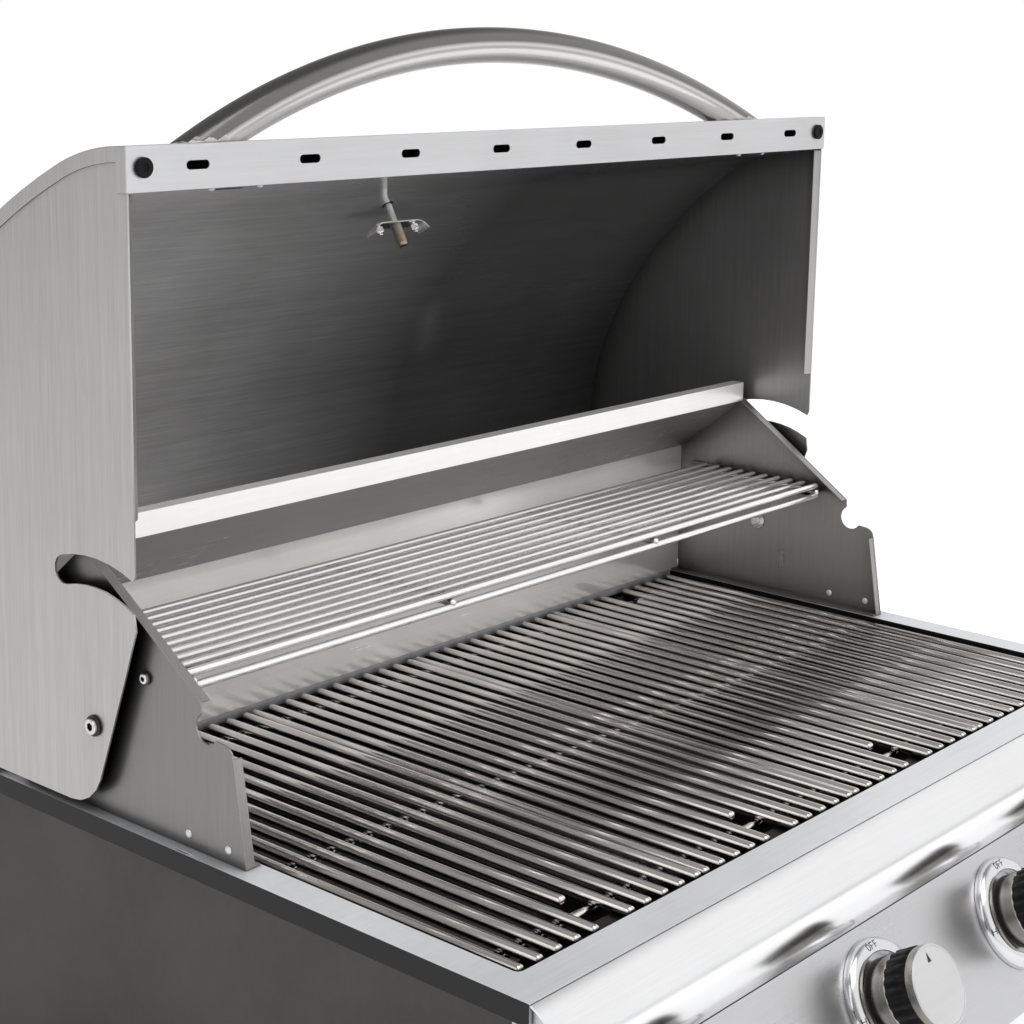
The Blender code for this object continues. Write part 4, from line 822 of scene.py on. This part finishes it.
def perforated(bm, foot, ridge):
    """One slope of a flame tamer, from its foot to the ridge, full of staggered holes."""
    foot = Vector(foot)
    width = (Vector(ridge) - foot).length
    across = (Vector(ridge) - foot) / width
    length = TAMER_BACK - TAMER_FRONT
    rows = int((width - 2 * HOLE_MARGIN) / (HOLE_PITCH * HOLE_ROW_SHARE))
    cells = int((length - 2 * HOLE_MARGIN) / HOLE_PITCH)
    row_width = width / (rows + 1)
    cell = length / (cells + 1)
    grid = {}

    def vert(u, y):
        return bm.verts.new((foot.x + across.x * u, y, foot.y + across.y * u))

    def shared(u, y):
        key = (round(u * 1e6), round(y * 1e6))
        if key not in grid:
            grid[key] = vert(u, y)
        return grid[key]

    def plain(u0, u1, y0, y1):
        bm.faces.new([vert(*corner) for corner in rectangle(u0, y0, u1, y1)])

    for row in range(rows):
        u0 = row_width / 2 + row * row_width
        u1 = u0 + row_width
        shift = cell / 4 if row % 2 else -cell / 4
        first = TAMER_FRONT + cell / 2 + shift
        for number in range(cells):
            y0 = TAMER_FRONT + cell / 2 + number * cell + shift
            y1 = y0 + cell
            u = (u0 + u1) / 2
            y = (y0 + y1) / 2
            corners = ((u1, y1), (u1, y), (u1, y0), (u0, y0), (u0, y), (u0, y1))
            outer = [shared(*corner) for corner in corners]
            inner = [vert(u + HOLE_RADIUS * cosine(t), y + HOLE_RADIUS * sine(t)) for t in HOLE_TURNS]
            for i, corner in enumerate(outer):
                bm.faces.new((outer[i - 1], corner, inner[i], inner[i - 1]))
        plain(u0, u1, TAMER_FRONT, first)
        plain(u0, u1, first + cells * cell, TAMER_BACK)
    plain(0, row_width / 2, TAMER_FRONT, TAMER_BACK)
    plain(row_width / 2 + rows * row_width, width, TAMER_FRONT, TAMER_BACK)


def make_flame_tamer(index):
    """Peaked plate, punched with staggered round holes."""
    bm = bmesh.new()
    x = zone_centre(index)
    for side in (-1, 1):
        perforated(bm, (x + side * TAMER_HALF_WIDTH, TAMER_BOTTOM), (x, TAMER_BOTTOM + TAMER_RISE))
    bmesh.ops.remove_doubles(bm, verts=bm.verts, dist=TAMER_MERGE)
    name = f"flame_tamer_{index + 1}"
    piece = new_piece(f"{name}_sheet", bm, "tamer", "frame", 30, [name])
    thick = piece.modifiers.new("thick", "SOLIDIFY")
    thick.thickness = SHEET
    thick.offset = -1


# Hood, all placed from its hinge axis

def at_hinge(bm):
    return put(bm, (0, HINGE_Y, HINGE_Z))


def skin_path(step=FINE_STEP):
    rolled = rolled_path((-HOOD_FRONT, LIP_BOTTOM + LIP_HEIGHT), SKIN_HEADINGS, SKIN_RADII, step)
    back = rolled[-1][0]
    path = [(-HOOD_FRONT, LIP_BOTTOM)] + rolled
    return path + [(back, -SKIN_BOTTOM), (SKIN_RETURN_END, -SKIN_BOTTOM)]


def skin_point(heading):
    """A point on the skin's long roll, where its outward normal leans back by the heading."""
    start = (-HOOD_FRONT, LIP_BOTTOM + LIP_HEIGHT)
    y, z = rolled_path(start, SKIN_HEADINGS[:2], SKIN_RADII[:1])[-1]
    y += SKIN_RADII[1] * (sine(heading) - sine(SKIN_HEADINGS[1]))
    z += SKIN_RADII[1] * (cosine(heading) - cosine(SKIN_HEADINGS[1]))
    return y, z


def on_dial(bm):
    """Move a mesh from the thermometer's own space, Z out of the hood, to its place."""
    y, z = skin_point(DIAL_HEADING)
    return put(bm, (DIAL_X, HINGE_Y + y, HINGE_Z + z), -DIAL_HEADING)


def thermometer_drill():
    return on_dial(flat_ring(0, DRILL_RADIUS, -STEM_LENGTH, DRILL_TOP, 32))


def make_hood_skin():
    """Rolled sheet with folded edges and the slotted lip."""
    behind_lip = -HOOD_FRONT + HEM_ROOM
    path = [p for p in skin_path() if not -HOOD_FRONT < p[0] < behind_lip]
    inner = offset_path(path, -SHEET)
    fold = offset_path(path, -SKIN_FOLD)
    outside = HOOD_HALF_WIDTH
    inside = HOOD_HALF_WIDTH - SHEET
    soft = HEM_SOFT
    soft_path = offset_path(path, -soft)
    bm = bmesh.new()
    stations = []
    for a, s, b, c in zip(path, soft_path, inner, fold):
        ring = [(outside - soft, a), (-outside + soft, a), (-outside, s), (-outside, c), (-inside, c)]
        ring += [(-inside, b), (inside, b), (inside, c), (outside, c), (outside, s)]
        stations.append([bm.verts.new((x, *point)) for x, point in ring])
    close_tube(bm, stations)
    skin = new_piece("hood_skin_sheet", at_hinge(bm), "hood_skin", "hood", 35, ["hood_skin"])
    slots = []
    for number in range(LIP_SLOTS):
        x = spaced(number, LIP_SLOTS, LIP_SLOT_PITCH)
        slot = stadium((x, LIP_SLOT_Z), LIP_SLOT_LENGTH, LIP_SLOT_HEIGHT)
        slots.append(prism(slot, -HOOD_FRONT - LIP_CUT, -HOOD_FRONT + LIP_CUT, "Y"))
    cut(skin, joined(at_hinge(joined(*slots)), thermometer_drill()))
    paint(skin, "hood_side", lambda face: abs(face.normal.x) > HEM_SIDEWAYS)


def make_hood_liner():
    """Second sheet inside the skin: a flat behind the lip, then three arcs up and back."""
    start = (-HOOD_FRONT + SHEET + GAP, LIP_BOTTOM - GAP)
    heading = LINER_HEADINGS[0]
    bend = (start[0] + LINER_FLAT * cosine(heading), start[1] - LINER_FLAT * sine(heading))
    path = [start] + rolled_path(bend, LINER_HEADINGS, LINER_RADII)
    path.append((path[-1][0], -SKIN_BOTTOM + SHEET + GAP))
    half = CHEEK_INSIDE - GAP
    bm = at_hinge(prism(bent_sheet(path, LINER_SHEET), -half, half, "X"))
    liner = new_piece("hood_liner_sheet", bm, "liner", "hood", 20, ["hood_liner"])
    cut(liner, thermometer_drill())


def make_handle():
    """Bent tube, coped where it lands on the skin."""
    route = []
    for number in range(HANDLE_STEPS + 1):
        turn = HANDLE_HALF_ANGLE * (2 * number / HANDLE_STEPS - 1)
        drop = HANDLE_BEND * (1 - cosine(turn))
        y = HANDLE_APEX[0] - drop * sine(HANDLE_TILT)
        z = HANDLE_APEX[1] - drop * cosine(HANDLE_TILT)
        route.append((HANDLE_BEND * sine(turn), y, z))
    bm = bmesh.new()
    up = (0, -cosine(HANDLE_TILT), sine(HANDLE_TILT))
    sweep(bm, route, [HANDLE_RADIUS] * len(route), HANDLE_SIDES, up)
    handle = new_piece("hood_handle_tube", at_hinge(bm), "handle", "hood", 40, ["hood_handle"])
    cope = prism(offset_path(skin_path(), GAP), -HOOD_HALF_WIDTH, HOOD_HALF_WIDTH, "X")
    cut(handle, at_hinge(cope))


def make_bumper(name, side):
    """Round rubber stop with a dished face."""
    soft = BUMPER_SOFT
    profile = [(0, 0), (BUMPER_RADIUS, 0)]
    profile += arc((BUMPER_RADIUS - soft, BUMPER_HEIGHT - soft), soft, 0, 90, 15)
    profile += [(BUMPER_DISH, BUMPER_HEIGHT), (BUMPER_DISH - 0.0004, BUMPER_HEIGHT - BUMPER_DISH_DEPTH)]
    profile.append((0, BUMPER_HEIGHT - BUMPER_DISH_DEPTH - 0.0002))
    place = (side * BUMPER_X, HINGE_Y - HOOD_FRONT - GAP, HINGE_Z + LIP_SLOT_Z)
    new_piece(f"{name}_rubber", put(turned(profile, 48), place, 90), "bumper", "hood", 50, [name])


# Front roll, knobs and bezels

def panel_frame(down):
    """Y and Z of a point down the control panel's face."""
    y = ROLL_Y + ROLL_RADIUS * cosine(ROLL_END) - down * sine(PANEL_SLOPE)
    z = ROLL_Z + ROLL_RADIUS * sine(ROLL_END) - down * cosine(PANEL_SLOPE)
    return y, z


def knob_x(index):
    return spaced(index, KNOBS, KNOB_PITCH)


def on_knob(bm, index):
    """Move a mesh from a knob's own space, Z out of the panel, to its place."""
    return put(bm, (knob_x(index), *panel_frame(KNOB_DOWN_PANEL)), 90 - PANEL_SLOPE)


def roll_start(inset, clearance):
    return math.degrees(math.acos(-(ROLL_SETBACK + clearance) / (ROLL_RADIUS - inset)))


def make_bullnose():
    path = arc((ROLL_Y, ROLL_Z), ROLL_RADIUS, roll_start(SHEET, GAP), ROLL_END)
    bm = prism(bent_sheet(path, SHEET), -DECK_WIDTH / 2, DECK_WIDTH / 2, "X")
    new_piece("bullnose_sheet", bm, "roll", "frame", 30, ["bullnose"])


def make_bezel(index):
    """Low ring with a rolled inner edge and a rounded slope down to the panel."""
    run = BEZEL_RADIUS - BEZEL_CREST
    rise = BEZEL_HEIGHT - BEZEL_EDGE
    profile = [(BEZEL_HOLE, GAP), (BEZEL_RADIUS, GAP)]
    profile += [(BEZEL_CREST + run * a, BEZEL_EDGE + rise * b) for a, b in arc((0, 0), 1, 0, 90, 7.5)]
    roll = (BEZEL_HOLE + BEZEL_ROLL, BEZEL_HEIGHT - BEZEL_ROLL)
    profile += arc(roll, BEZEL_ROLL, 90, 180, 15)
    name = f"bezel_{index + 1}"
    new_piece(f"{name}_ring", on_knob(turned(profile), index), "bezel", "frame", 40, [name])


def knob_profile():
    """Bore, base with soft edges, core for the grip ring, and the head with its recess."""
    edge = KNOB_EDGE
    profile = [(0, KNOB_BORE_TOP), (KNOB_BORE, KNOB_BORE_TOP), (KNOB_BORE, KNOB_STANDOFF)]
    profile += arc((KNOB_BASE_RADIUS - edge, KNOB_STANDOFF + edge), edge, -90, 0, 30)
    profile += arc((KNOB_BASE_RADIUS - edge, KNOB_BASE_TOP - edge), edge, 0, 90, 30)
    profile += [(KNOB_CORE_RADIUS, KNOB_BASE_TOP), (KNOB_CORE_RADIUS, KNOB_GRIP_TOP)]
    profile += [(KNOB_FACE_RADIUS - HEAD_EDGE, KNOB_GRIP_TOP), (KNOB_FACE_RADIUS, KNOB_GRIP_TOP + HEAD_EDGE)]
    profile += arc((KNOB_FACE_RADIUS - edge, KNOB_TOP - edge), edge, 0, 90, 30)
    profile += [(FACE_RECESS_RADIUS, KNOB_TOP), (FACE_RECESS_RADIUS, KNOB_TOP - FACE_RECESS)]
    profile.append((0, KNOB_TOP - FACE_RECESS))
    return profile


def make_knob(index):
    """Turned metal knob with a painted highlight on its edges, a bright face and a black pointer."""
    name = f"knob_{index + 1}"
    body = f"{name}_body"
    knob = new_piece(f"{name}_metal", on_knob(turned(knob_profile()), index), "knob", body, 40, [name])
    origin = Vector((knob_x(index), *panel_frame(KNOB_DOWN_PANEL)))
    axis = Vector((0, -cosine(PANEL_SLOPE), sine(PANEL_SLOPE)))

    def on_highlit_edge(face):
        level = (face.center - origin).dot(axis)
        return level > KNOB_TOP - KNOB_EDGE or KNOB_BASE_TOP - KNOB_EDGE < level < KNOB_BASE_TOP - 0.0001

    # Painted highlight: the rounded edges of the head and base take the bright face material
    paint(knob, "knob_face_and_highlight", on_highlit_edge)
    disc = FACE_RECESS_RADIUS - 0.00005
    floor = KNOB_TOP - FACE_RECESS + 0.0001
    face = [(0, floor), (disc, floor), (disc, KNOB_TOP - 0.0001), (disc - 0.0003, KNOB_TOP), (0, KNOB_TOP)]
    new_piece(f"{name}_face", on_knob(turned(face), index), "knob_face_and_highlight", body)
    tip = KNOB_FACE_RADIUS - POINTER_FROM_EDGE
    half = POINTER_WIDTH / 2
    arrow = [(-half, tip - POINTER_LENGTH), (half, tip - POINTER_LENGTH), (0, tip)]
    bm = on_knob(prism(arrow, KNOB_TOP - POINTER_SINK, KNOB_TOP + POINTER_RISE, "Z"), index)
    new_piece(f"{name}_pointer", bm, "ink", body)


def make_grip(index):
    """Rubber ring with rounded ribs all round and soft rims."""
    soft = GRIP_SOFT
    low = KNOB_BASE_TOP + GAP
    high = KNOB_GRIP_TOP - GAP
    sides = GRIP_RIBS * GRIP_STEPS
    bm = bmesh.new()
    rings = []
    for height, inset in ((low, soft), (low + soft, 0), (high - soft, 0), (high, soft)):
        ring = []
        for number in range(sides):
            turn = 360 * number / sides
            wave = 0.5 + 0.5 * cosine(GRIP_RIBS * turn)
            radius = KNOB_GRIP_RADIUS - inset - GRIP_GROOVE * (1 - wave) ** 2
            ring.append(bm.verts.new((radius * cosine(turn), radius * sine(turn), height)))
        rings.append(ring)
    for height in (high, low):
        rings.append([bm.verts.new((*p, height)) for p in circle((0, 0), GRIP_HOLE, sides)])
    for first, second in zip(rings, rings[1:] + rings[:1]):
        join_rings(bm, first, second)
    name = f"knob_grip_{index + 1}"
    new_piece(f"{name}_ring", on_knob(bm, index), "rubber", f"knob_{index + 1}_body", 45, [name])


# Bolts, rivets and screws

def socket_bolt(name, place, side, size, replaces=()):
    """A round head with a hexagon socket, black inside as painted shade, on a dark collar, standing out from
    a sheet square to X.
    """
    radius, height, collar = size
    soft = BOLT_SOFT
    collar_height = height * COLLAR_SHARE
    profile = [(0, collar_height), (radius, collar_height)]
    profile += arc((radius - soft, height - soft), soft, 0, 90, 15)
    profile.append((0, height))
    bm = on_side(turned(profile, 48), place, side)
    head = new_piece(f"{name}_head", bm, "bolt", "frame", 30, replaces)
    socket = flat_ring(0, radius * SOCKET_SHARE, height * 0.5, height * 1.2, 6)
    cut(head, on_side(socket, place, side))
    centre = Vector(place)

    def in_shaded_socket(face):
        away = face.center - centre
        return abs(away.x) < height - 0.0002 and math.hypot(away.y, away.z) < radius * 0.6

    # Painted shade: the socket's faces take the black collar material
    paint(head, "collar", in_shaded_socket)
    ring = flat_ring(0, collar, 0.0001, collar_height, 48)
    new_piece(f"{name}_collar", on_side(ring, place, side), "collar", "frame")


def make_hinge_bolt(name, side):
    """Bolt head outside the hood, spacer between the sheets, washer and nut inside the windshield."""
    place = (0, HINGE_Y, HINGE_Z)
    socket_bolt(name, (side * (CHEEK_OUTSIDE + GAP), HINGE_Y, HINGE_Z), side, HINGE_HEAD, [name])
    end = CHEEK_OUTSIDE + SHANK_PAST
    seat = WING_INSIDE - WASHER_SEAT
    shank = [(0, WING_INSIDE - 0.0053), (SHANK_RADIUS - 0.0005, WING_INSIDE - 0.0053)]
    shank += [(SHANK_RADIUS, WING_INSIDE - 0.0047), (SHANK_RADIUS, end), (0, end)]
    nut = [(NUT_HOLE, WING_INSIDE - 0.0042), (NUT_RADIUS - 0.0007, WING_INSIDE - 0.0042)]
    nut += [(NUT_RADIUS, WING_INSIDE - 0.0037), (NUT_RADIUS, seat), (NUT_HOLE, seat)]
    washer = flat_ring(WASHER_HOLE, WASHER_RADIUS, seat, WING_INSIDE - GAP, 48)
    inside = joined(turned(shank, 32), turned(nut, 6), washer)
    new_piece(f"{name}_shank", on_side(inside, place, side), "bolt", "frame")
    spacer = flat_ring(SPACER_HOLE, SPACER_RADIUS, WING_OUTSIDE + GAP, CHEEK_INSIDE - GAP, 48)
    new_piece(f"{name}_spacer", on_side(spacer, place, side), "collar", "frame")


def dome(radius, height):
    """A low round rivet head, its flat side down."""
    profile = [(0, -DOME_SINK), (radius, -DOME_SINK)]
    profile += [(radius * cosine(t), height * sine(t)) for t in range(0, 90, 15)]
    profile.append((0, height))
    return turned(profile, 32)


def make_wing_fasteners(name, side):
    """Foot rivets through a windshield, seen on both faces, and the screw of its rack ledge."""
    heads = []
    for y in FOOT_RIVETS:
        for level, way in ((WING_OUTSIDE, side), (WING_INSIDE, -side)):
            heads.append(on_side(dome(*FOOT_RIVET_SIZE), (side * level, y, FOOT_RIVET_Z), way))
    new_piece(f"{name}_rivets", joined(*heads), "rivet", "frame", 40)
    place = (side * WING_OUTSIDE, *LEDGE_SCREW)
    socket_bolt(f"{name}_screw", place, side, LEDGE_HEAD)
    bump = bmesh.new()
    bead(bump, (side * DECK_BUMP[0], DECK_BUMP[1], DECK_TOP), DECK_BUMP_SIZE, 16)
    new_piece(f"deck_bump_{name}", bump, "deck", "frame", 60)


# Thermometer and its bracket

def stem_thread(neck):
    """Turned profile of the stem's threaded lower end."""
    profile = [(0, neck), (THREAD_ROOT, neck)]
    for number in range(THREADS):
        level = neck - (number + 0.5) * THREAD_PITCH
        profile += [(THREAD_CREST, level), (THREAD_CREST - 0.0005, level - THREAD_PITCH / 2)]
    return profile + [(THREAD_ROOT, -STEM_LENGTH), (0, -STEM_LENGTH)]


def dial_ticks():
    ticks = []
    for number in range(DIAL_TICKS):
        low, half = SHORT_TICK if number % DIAL_STEP else LONG_TICK
        mark = prism(rectangle(low, -half, TICK_END, half), 0.0045, 0.0048, "Z")
        ticks.append(put(mark, angle=DIAL_START - DIAL_SWEEP * number / (DIAL_TICKS - 1), axis="Z"))
    return joined(*ticks)


def make_thermometer():
    """Dial with its case, face, ticks, needle and window outside the hood, and the stem inside."""
    window = DIAL_RADIUS - DIAL_RIM
    disc = window - 0.0002
    neck = STEM_TIP_LENGTH - STEM_LENGTH
    soft = DIAL_SOFT
    profile = [(0, neck), (STEM_RADIUS, neck), (STEM_RADIUS, DIAL_FOOT), (DIAL_RADIUS - 0.001, DIAL_FOOT)]
    profile.append((DIAL_RADIUS, DIAL_FOOT + 0.001))
    profile += arc((DIAL_RADIUS - soft, DIAL_HEIGHT - soft), soft, 0, 90, 15)
    profile += [(window, DIAL_HEIGHT), (window, DIAL_WELL), (0, DIAL_WELL)]
    hand = [(-0.006, -0.0008), (0.021, -0.0002), (0.021, 0.0002), (-0.006, 0.0008)]
    pointer = put(prism(hand, 0.0052, 0.0056, "Z"), angle=DIAL_START, axis="Z")
    hub = turned([(0, 0.0045), (0.0022, 0.0045), (0.0022, 0.0060), (0.0015, 0.0064), (0, 0.0064)], 32)

    def part(name, bm, material, smooth=30, replaces=()):
        new_piece(f"thermometer_{name}", on_dial(bm), material, "hood", smooth, replaces)

    part("case", turned(profile), "bolt", 35, ["thermometer"])
    part("tip", turned(stem_thread(neck), 32), "stem_tip", 50)
    part("face", flat_ring(0, disc, 0.0041, 0.0046), "dial")
    part("ticks", dial_ticks(), "ink")
    part("needle", joined(pointer, hub), "needle")
    part("window", flat_ring(0, disc, 0.0070, 0.0080), "glass")


def make_bracket():
    """Springy strap on the stem, its ends turned down, with a nut on a stud near each end."""
    half = STRAP_LENGTH / 2
    ends = arc((half - STRAP_BEND, -STRAP_BEND), STRAP_BEND, 20, 90, 7)
    path = [(-x, z) for x, z in ends] + ends[::-1]
    strap = prism(bent_sheet(path, SHEET), -STRAP_WIDTH / 2, STRAP_WIDTH / 2, "Y")
    strap = on_dial(put(strap, (0, 0, -STRAP_LEVEL)))
    node = "thermometer_bracket"
    piece = new_piece("thermometer_strap", strap, "bolt", "hood", 30, [node])
    cut(piece, on_dial(flat_ring(0, STRAP_HOLE, -0.06, -0.03, 32)))
    nuts = []
    for side in (-1, 1):
        nut = turned([(0, -0.0055), (0.0030, -0.0055), (0.0034, -0.0050), (0.0034, -SHEET), (0, -SHEET)], 6)
        stud = turned([(0, -0.0075), (0.0014, -0.0075), (0.0018, -0.0070), (0.0018, 0.0020), (0, 0.0020)], 24)
        nuts.append(put(joined(nut, stud), (side * (half - STRAP_NUT_INSET), 0, -STRAP_LEVEL)))
    new_piece("thermometer_nuts", on_dial(joined(*nuts)), "bolt", "hood")


def make_liner_slits():
    """Slits as flat dark marks that paint the shade of openings, and small rivets in the liner's flat just
    behind the lip.
    """
    slits = []
    heads = []
    for side in (-1, 1):
        slit = stadium((side * LINER_SLIT[0], LINER_SLIT[1]), *LINER_SLIT_SIZE)
        slits.append(prism(slit, -0.0004, 0.0002, "Z"))
        for x, y in LINER_RIVETS:
            heads.append(put(dome(*LINER_RIVET_SIZE), (side * x, y, 0), 180))
    place = (0, HINGE_Y - HOOD_FRONT + SHEET + GAP, HINGE_Z + LIP_BOTTOM - GAP)
    tilt = -LINER_HEADINGS[0]
    # Painted shade: flat dark marks on the liner stand in for the slits' openings
    new_piece("liner_slits", put(joined(*slits), place, tilt), "ink", "hood")
    new_piece("liner_rivets", put(joined(*heads), place, tilt), "rivet", "hood", 40)


# Marks round the knobs

STROKES = {
    "O": [[(0.2, 0), (0, 0.25), (0, 0.75), (0.2, 1), (0.45, 1), (0.65, 0.75), (0.65, 0.25), (0.45, 0),
           (0.2, 0)]],
    "F": [[(0, 0), (0, 1), (0.6, 1)], [(0, 0.52), (0.5, 0.52)]],
    "H": [[(0, 0), (0, 1)], [(0.62, 0), (0.62, 1)], [(0, 0.5), (0.62, 0.5)]],
    "I": [[(0, 0), (0, 1)]],
    "L": [[(0, 1), (0, 0), (0.55, 0)]],
}
LETTER_STEP = 1.05
LETTER_WIDTH = 0.6
LETTER_HEIGHT = 0.0042
STROKE_HALF = 0.00026
STROKE_RISE = 0.00016
STROKE_SINK = 0.0002
STROKE_STEPS = 3
MARK_RADIUS = 0.0362
MARKS = (("OFF", 90), ("HI", 185), ("LO", 315))


def bezel_surface(radius):
    """Height of the bezel's rounded top at a distance from its axis."""
    share = min(1, max(0, (radius - BEZEL_CREST) / (BEZEL_RADIUS - BEZEL_CREST)))
    return BEZEL_EDGE + (BEZEL_HEIGHT - BEZEL_EDGE) * math.sqrt(1 - share ** 2)


def stroke(bm, start, end):
    """A thin raised line on the bezel between two points, which are measured from its axis."""
    start = Vector(start)
    end = Vector(end)
    along = (end - start).normalized() * STROKE_HALF
    aside = Vector((-along.y, along.x))
    start = start - along
    end = end + along
    corners = ((aside, STROKE_RISE), (-aside, STROKE_RISE), (-aside, -STROKE_SINK), (aside, -STROKE_SINK))
    rings = []
    for number in range(STROKE_STEPS + 1):
        middle = start + (end - start) * number / STROKE_STEPS
        ring = []
        for offset, lift in corners:
            point = middle + offset
            ring.append(bm.verts.new((*point, bezel_surface(point.length) + lift)))
        rings.append(ring)
    close_tube(bm, rings)


def make_marks(index):
    """OFF, HI and LO printed upright round a knob."""
    bm = bmesh.new()
    for word, turn in MARKS:
        width = (LETTER_STEP * (len(word) - 1) + LETTER_WIDTH) * LETTER_HEIGHT
        foot = MARK_RADIUS * sine(turn) - LETTER_HEIGHT / 2
        for number, letter in enumerate(word):
            left = MARK_RADIUS * cosine(turn) - width / 2 + LETTER_STEP * LETTER_HEIGHT * number
            for line in STROKES[letter]:
                points = [(left + x * LETTER_HEIGHT, foot + z * LETTER_HEIGHT) for x, z in line]
                for start, end in zip(points, points[1:]):
                    stroke(bm, start, end)
    name = f"bezel_{index + 1}"
    new_piece(f"{name}_marks", on_knob(bm, index), "ink", "frame")


# The CAD nodes that keep their own shape

KEPT = {
    "deck": ["deck_frame"],
    "box": ["firebox", "heat_divider_1", "heat_divider_2", "heat_divider_3"],
    "tray": ["drip_tray", "drip_tray_handle"],
    "wall": ["rear_baffle"],
    "wing": ["windshield_left", "windshield_right"],
    "hood_side": ["hood_side_left", "hood_side_right"],
    "panel": ["control_panel", "panel_end_cap_left", "panel_end_cap_right"],
    "burner": ["burner_1", "burner_2", "burner_3", "burner_4"],
    "brass": ["gas_inlet", "valve_1", "valve_2", "valve_3", "valve_4"],
    "pipe": ["manifold"],
    "bolt": ["valve_stem_1", "valve_stem_2", "valve_stem_3", "valve_stem_4"],
}


def dress_nodes():
    for material, names in KEPT.items():
        for name in names:
            dress(name, material)


# Light, floor and camera

def make_world():
    """White to the camera, softer as a light; in reflections dimmer at the left and high up at the back."""
    world = bpy.data.worlds.new("studio")
    bpy.context.scene.world = world
    graph = Graph(world, "Background")
    back = graph.math("MULTIPLY", graph.own("Generated", "Y"), DIM_BACK)
    up = graph.math("MULTIPLY", graph.own("Generated", "Z"), DIM_UP)
    left = graph.math("MULTIPLY", graph.own("Generated", "X"), -1)
    dimming = graph.math("MAXIMUM", graph.math("ADD", back, up), left)
    room = graph.spread(dimming, 1.0, DIM_LEVEL, DIM_FROM, DIM_FULL, interpolation_type="SMOOTHSTEP")
    rays = graph.add("ShaderNodeLightPath").outputs
    seen = graph.math("MAXIMUM", rays["Is Camera Ray"], rays["Is Transmission Ray"])
    plain = graph.math("MULTIPLY", seen, 1 - FILL_LEVEL)
    mirrored = graph.math("MULTIPLY", rays["Is Glossy Ray"], graph.math("SUBTRACT", room, FILL_LEVEL))
    graph.feed("Strength", graph.math("ADD", FILL_LEVEL, graph.math("ADD", plain, mirrored)))
    graph.shader.inputs["Color"].default_value = (1, 1, 1, 1)


def area_light(name, place, target, size, power, mirrored=True):
    """A rectangular lamp that faces a target, and shows in reflections or not."""
    light = bpy.data.lights.new(name, "AREA")
    light.shape = "RECTANGLE"
    light.size, light.size_y = size
    light.energy = power
    made = new_object(name, light)
    made.location = place
    made.rotation_euler = (Vector(target) - Vector(place)).to_track_quat("-Z", "Y").to_euler()
    made.visible_glossy = mirrored


def make_floor():
    """Matt floor, nearly white to the camera."""
    graph = new_material("floor")
    speckle = graph.spread(graph.noise(FLOOR_SPECKLE, 3.0), 0.98, 1.02)
    graph.feed("Base Color", graph.tint(FLOOR_COLOUR, speckle))
    graph.shader.inputs["Roughness"].default_value = 0.9
    graph.shader.inputs["Specular IOR Level"].default_value = 0.1
    rays = graph.add("ShaderNodeLightPath").outputs
    glow = graph.math("MULTIPLY", rays["Is Camera Ray"], FLOOR_GLOW)
    glow = graph.math("ADD", glow, graph.math("MULTIPLY", rays["Is Glossy Ray"], FLOOR_MIRRORED))
    graph.shader.inputs["Emission Color"].default_value = (1, 1, 1, 1)
    graph.feed("Emission Strength", glow)
    bm = bmesh.new()
    half = FLOOR_HALF
    bm.faces.new([bm.verts.new((*p, 0)) for p in rectangle(-half, -half, half, half)])
    floor = new_object("floor", to_mesh("floor", bm))
    floor.data.materials.append(MATERIALS["floor"])


def make_camera():
    camera = bpy.data.cameras.new("camera")
    camera.sensor_width = 36
    camera.lens = CAMERA_LENS
    camera.shift_y = CAMERA_SHIFT
    camera.clip_end = 100
    made = new_object("camera", camera)
    made.location = CAMERA_PLACE
    made.rotation_euler = [math.radians(a) for a in CAMERA_TURNS]
    bpy.context.scene.camera = made


def make_studio():
    make_world()
    make_floor()
    area_light("key_light", (1.5, -2.0, 1.8), (0, 0, 0.3), size=(2.6, 2.2), power=44, mirrored=False)
    area_light("top_light", (-0.4, -0.8, 2.6), (0, 0, 0.3), size=(1.8, 1.8), power=16)
    area_light("left_light", (-2.2, 0.0, 1.4), (0, 0, 0.4), size=(1.4, 1.8), power=7)
    make_camera()
    bpy.context.scene.view_settings.view_transform = "Standard"


def build():
    make_materials()
    dress_nodes()
    for index in range(ZONES):
        make_grate(index)
        make_flame_tamer(index)
    make_warming_rack()
    make_hood_skin()
    make_hood_liner()
    make_handle()
    make_bumper("bumper_left", -1)
    make_bumper("bumper_right", 1)
    make_liner_slits()
    make_thermometer()
    make_bracket()
    for name, side in (("left", -1), ("right", 1)):
        make_hinge_bolt(f"hinge_bolt_{name}", side)
        make_wing_fasteners(f"windshield_{name}", side)
    make_bullnose()
    for index in range(KNOBS):
        make_bezel(index)
        make_marks(index)
        make_knob(index)
        make_grip(index)
    make_studio()


build()
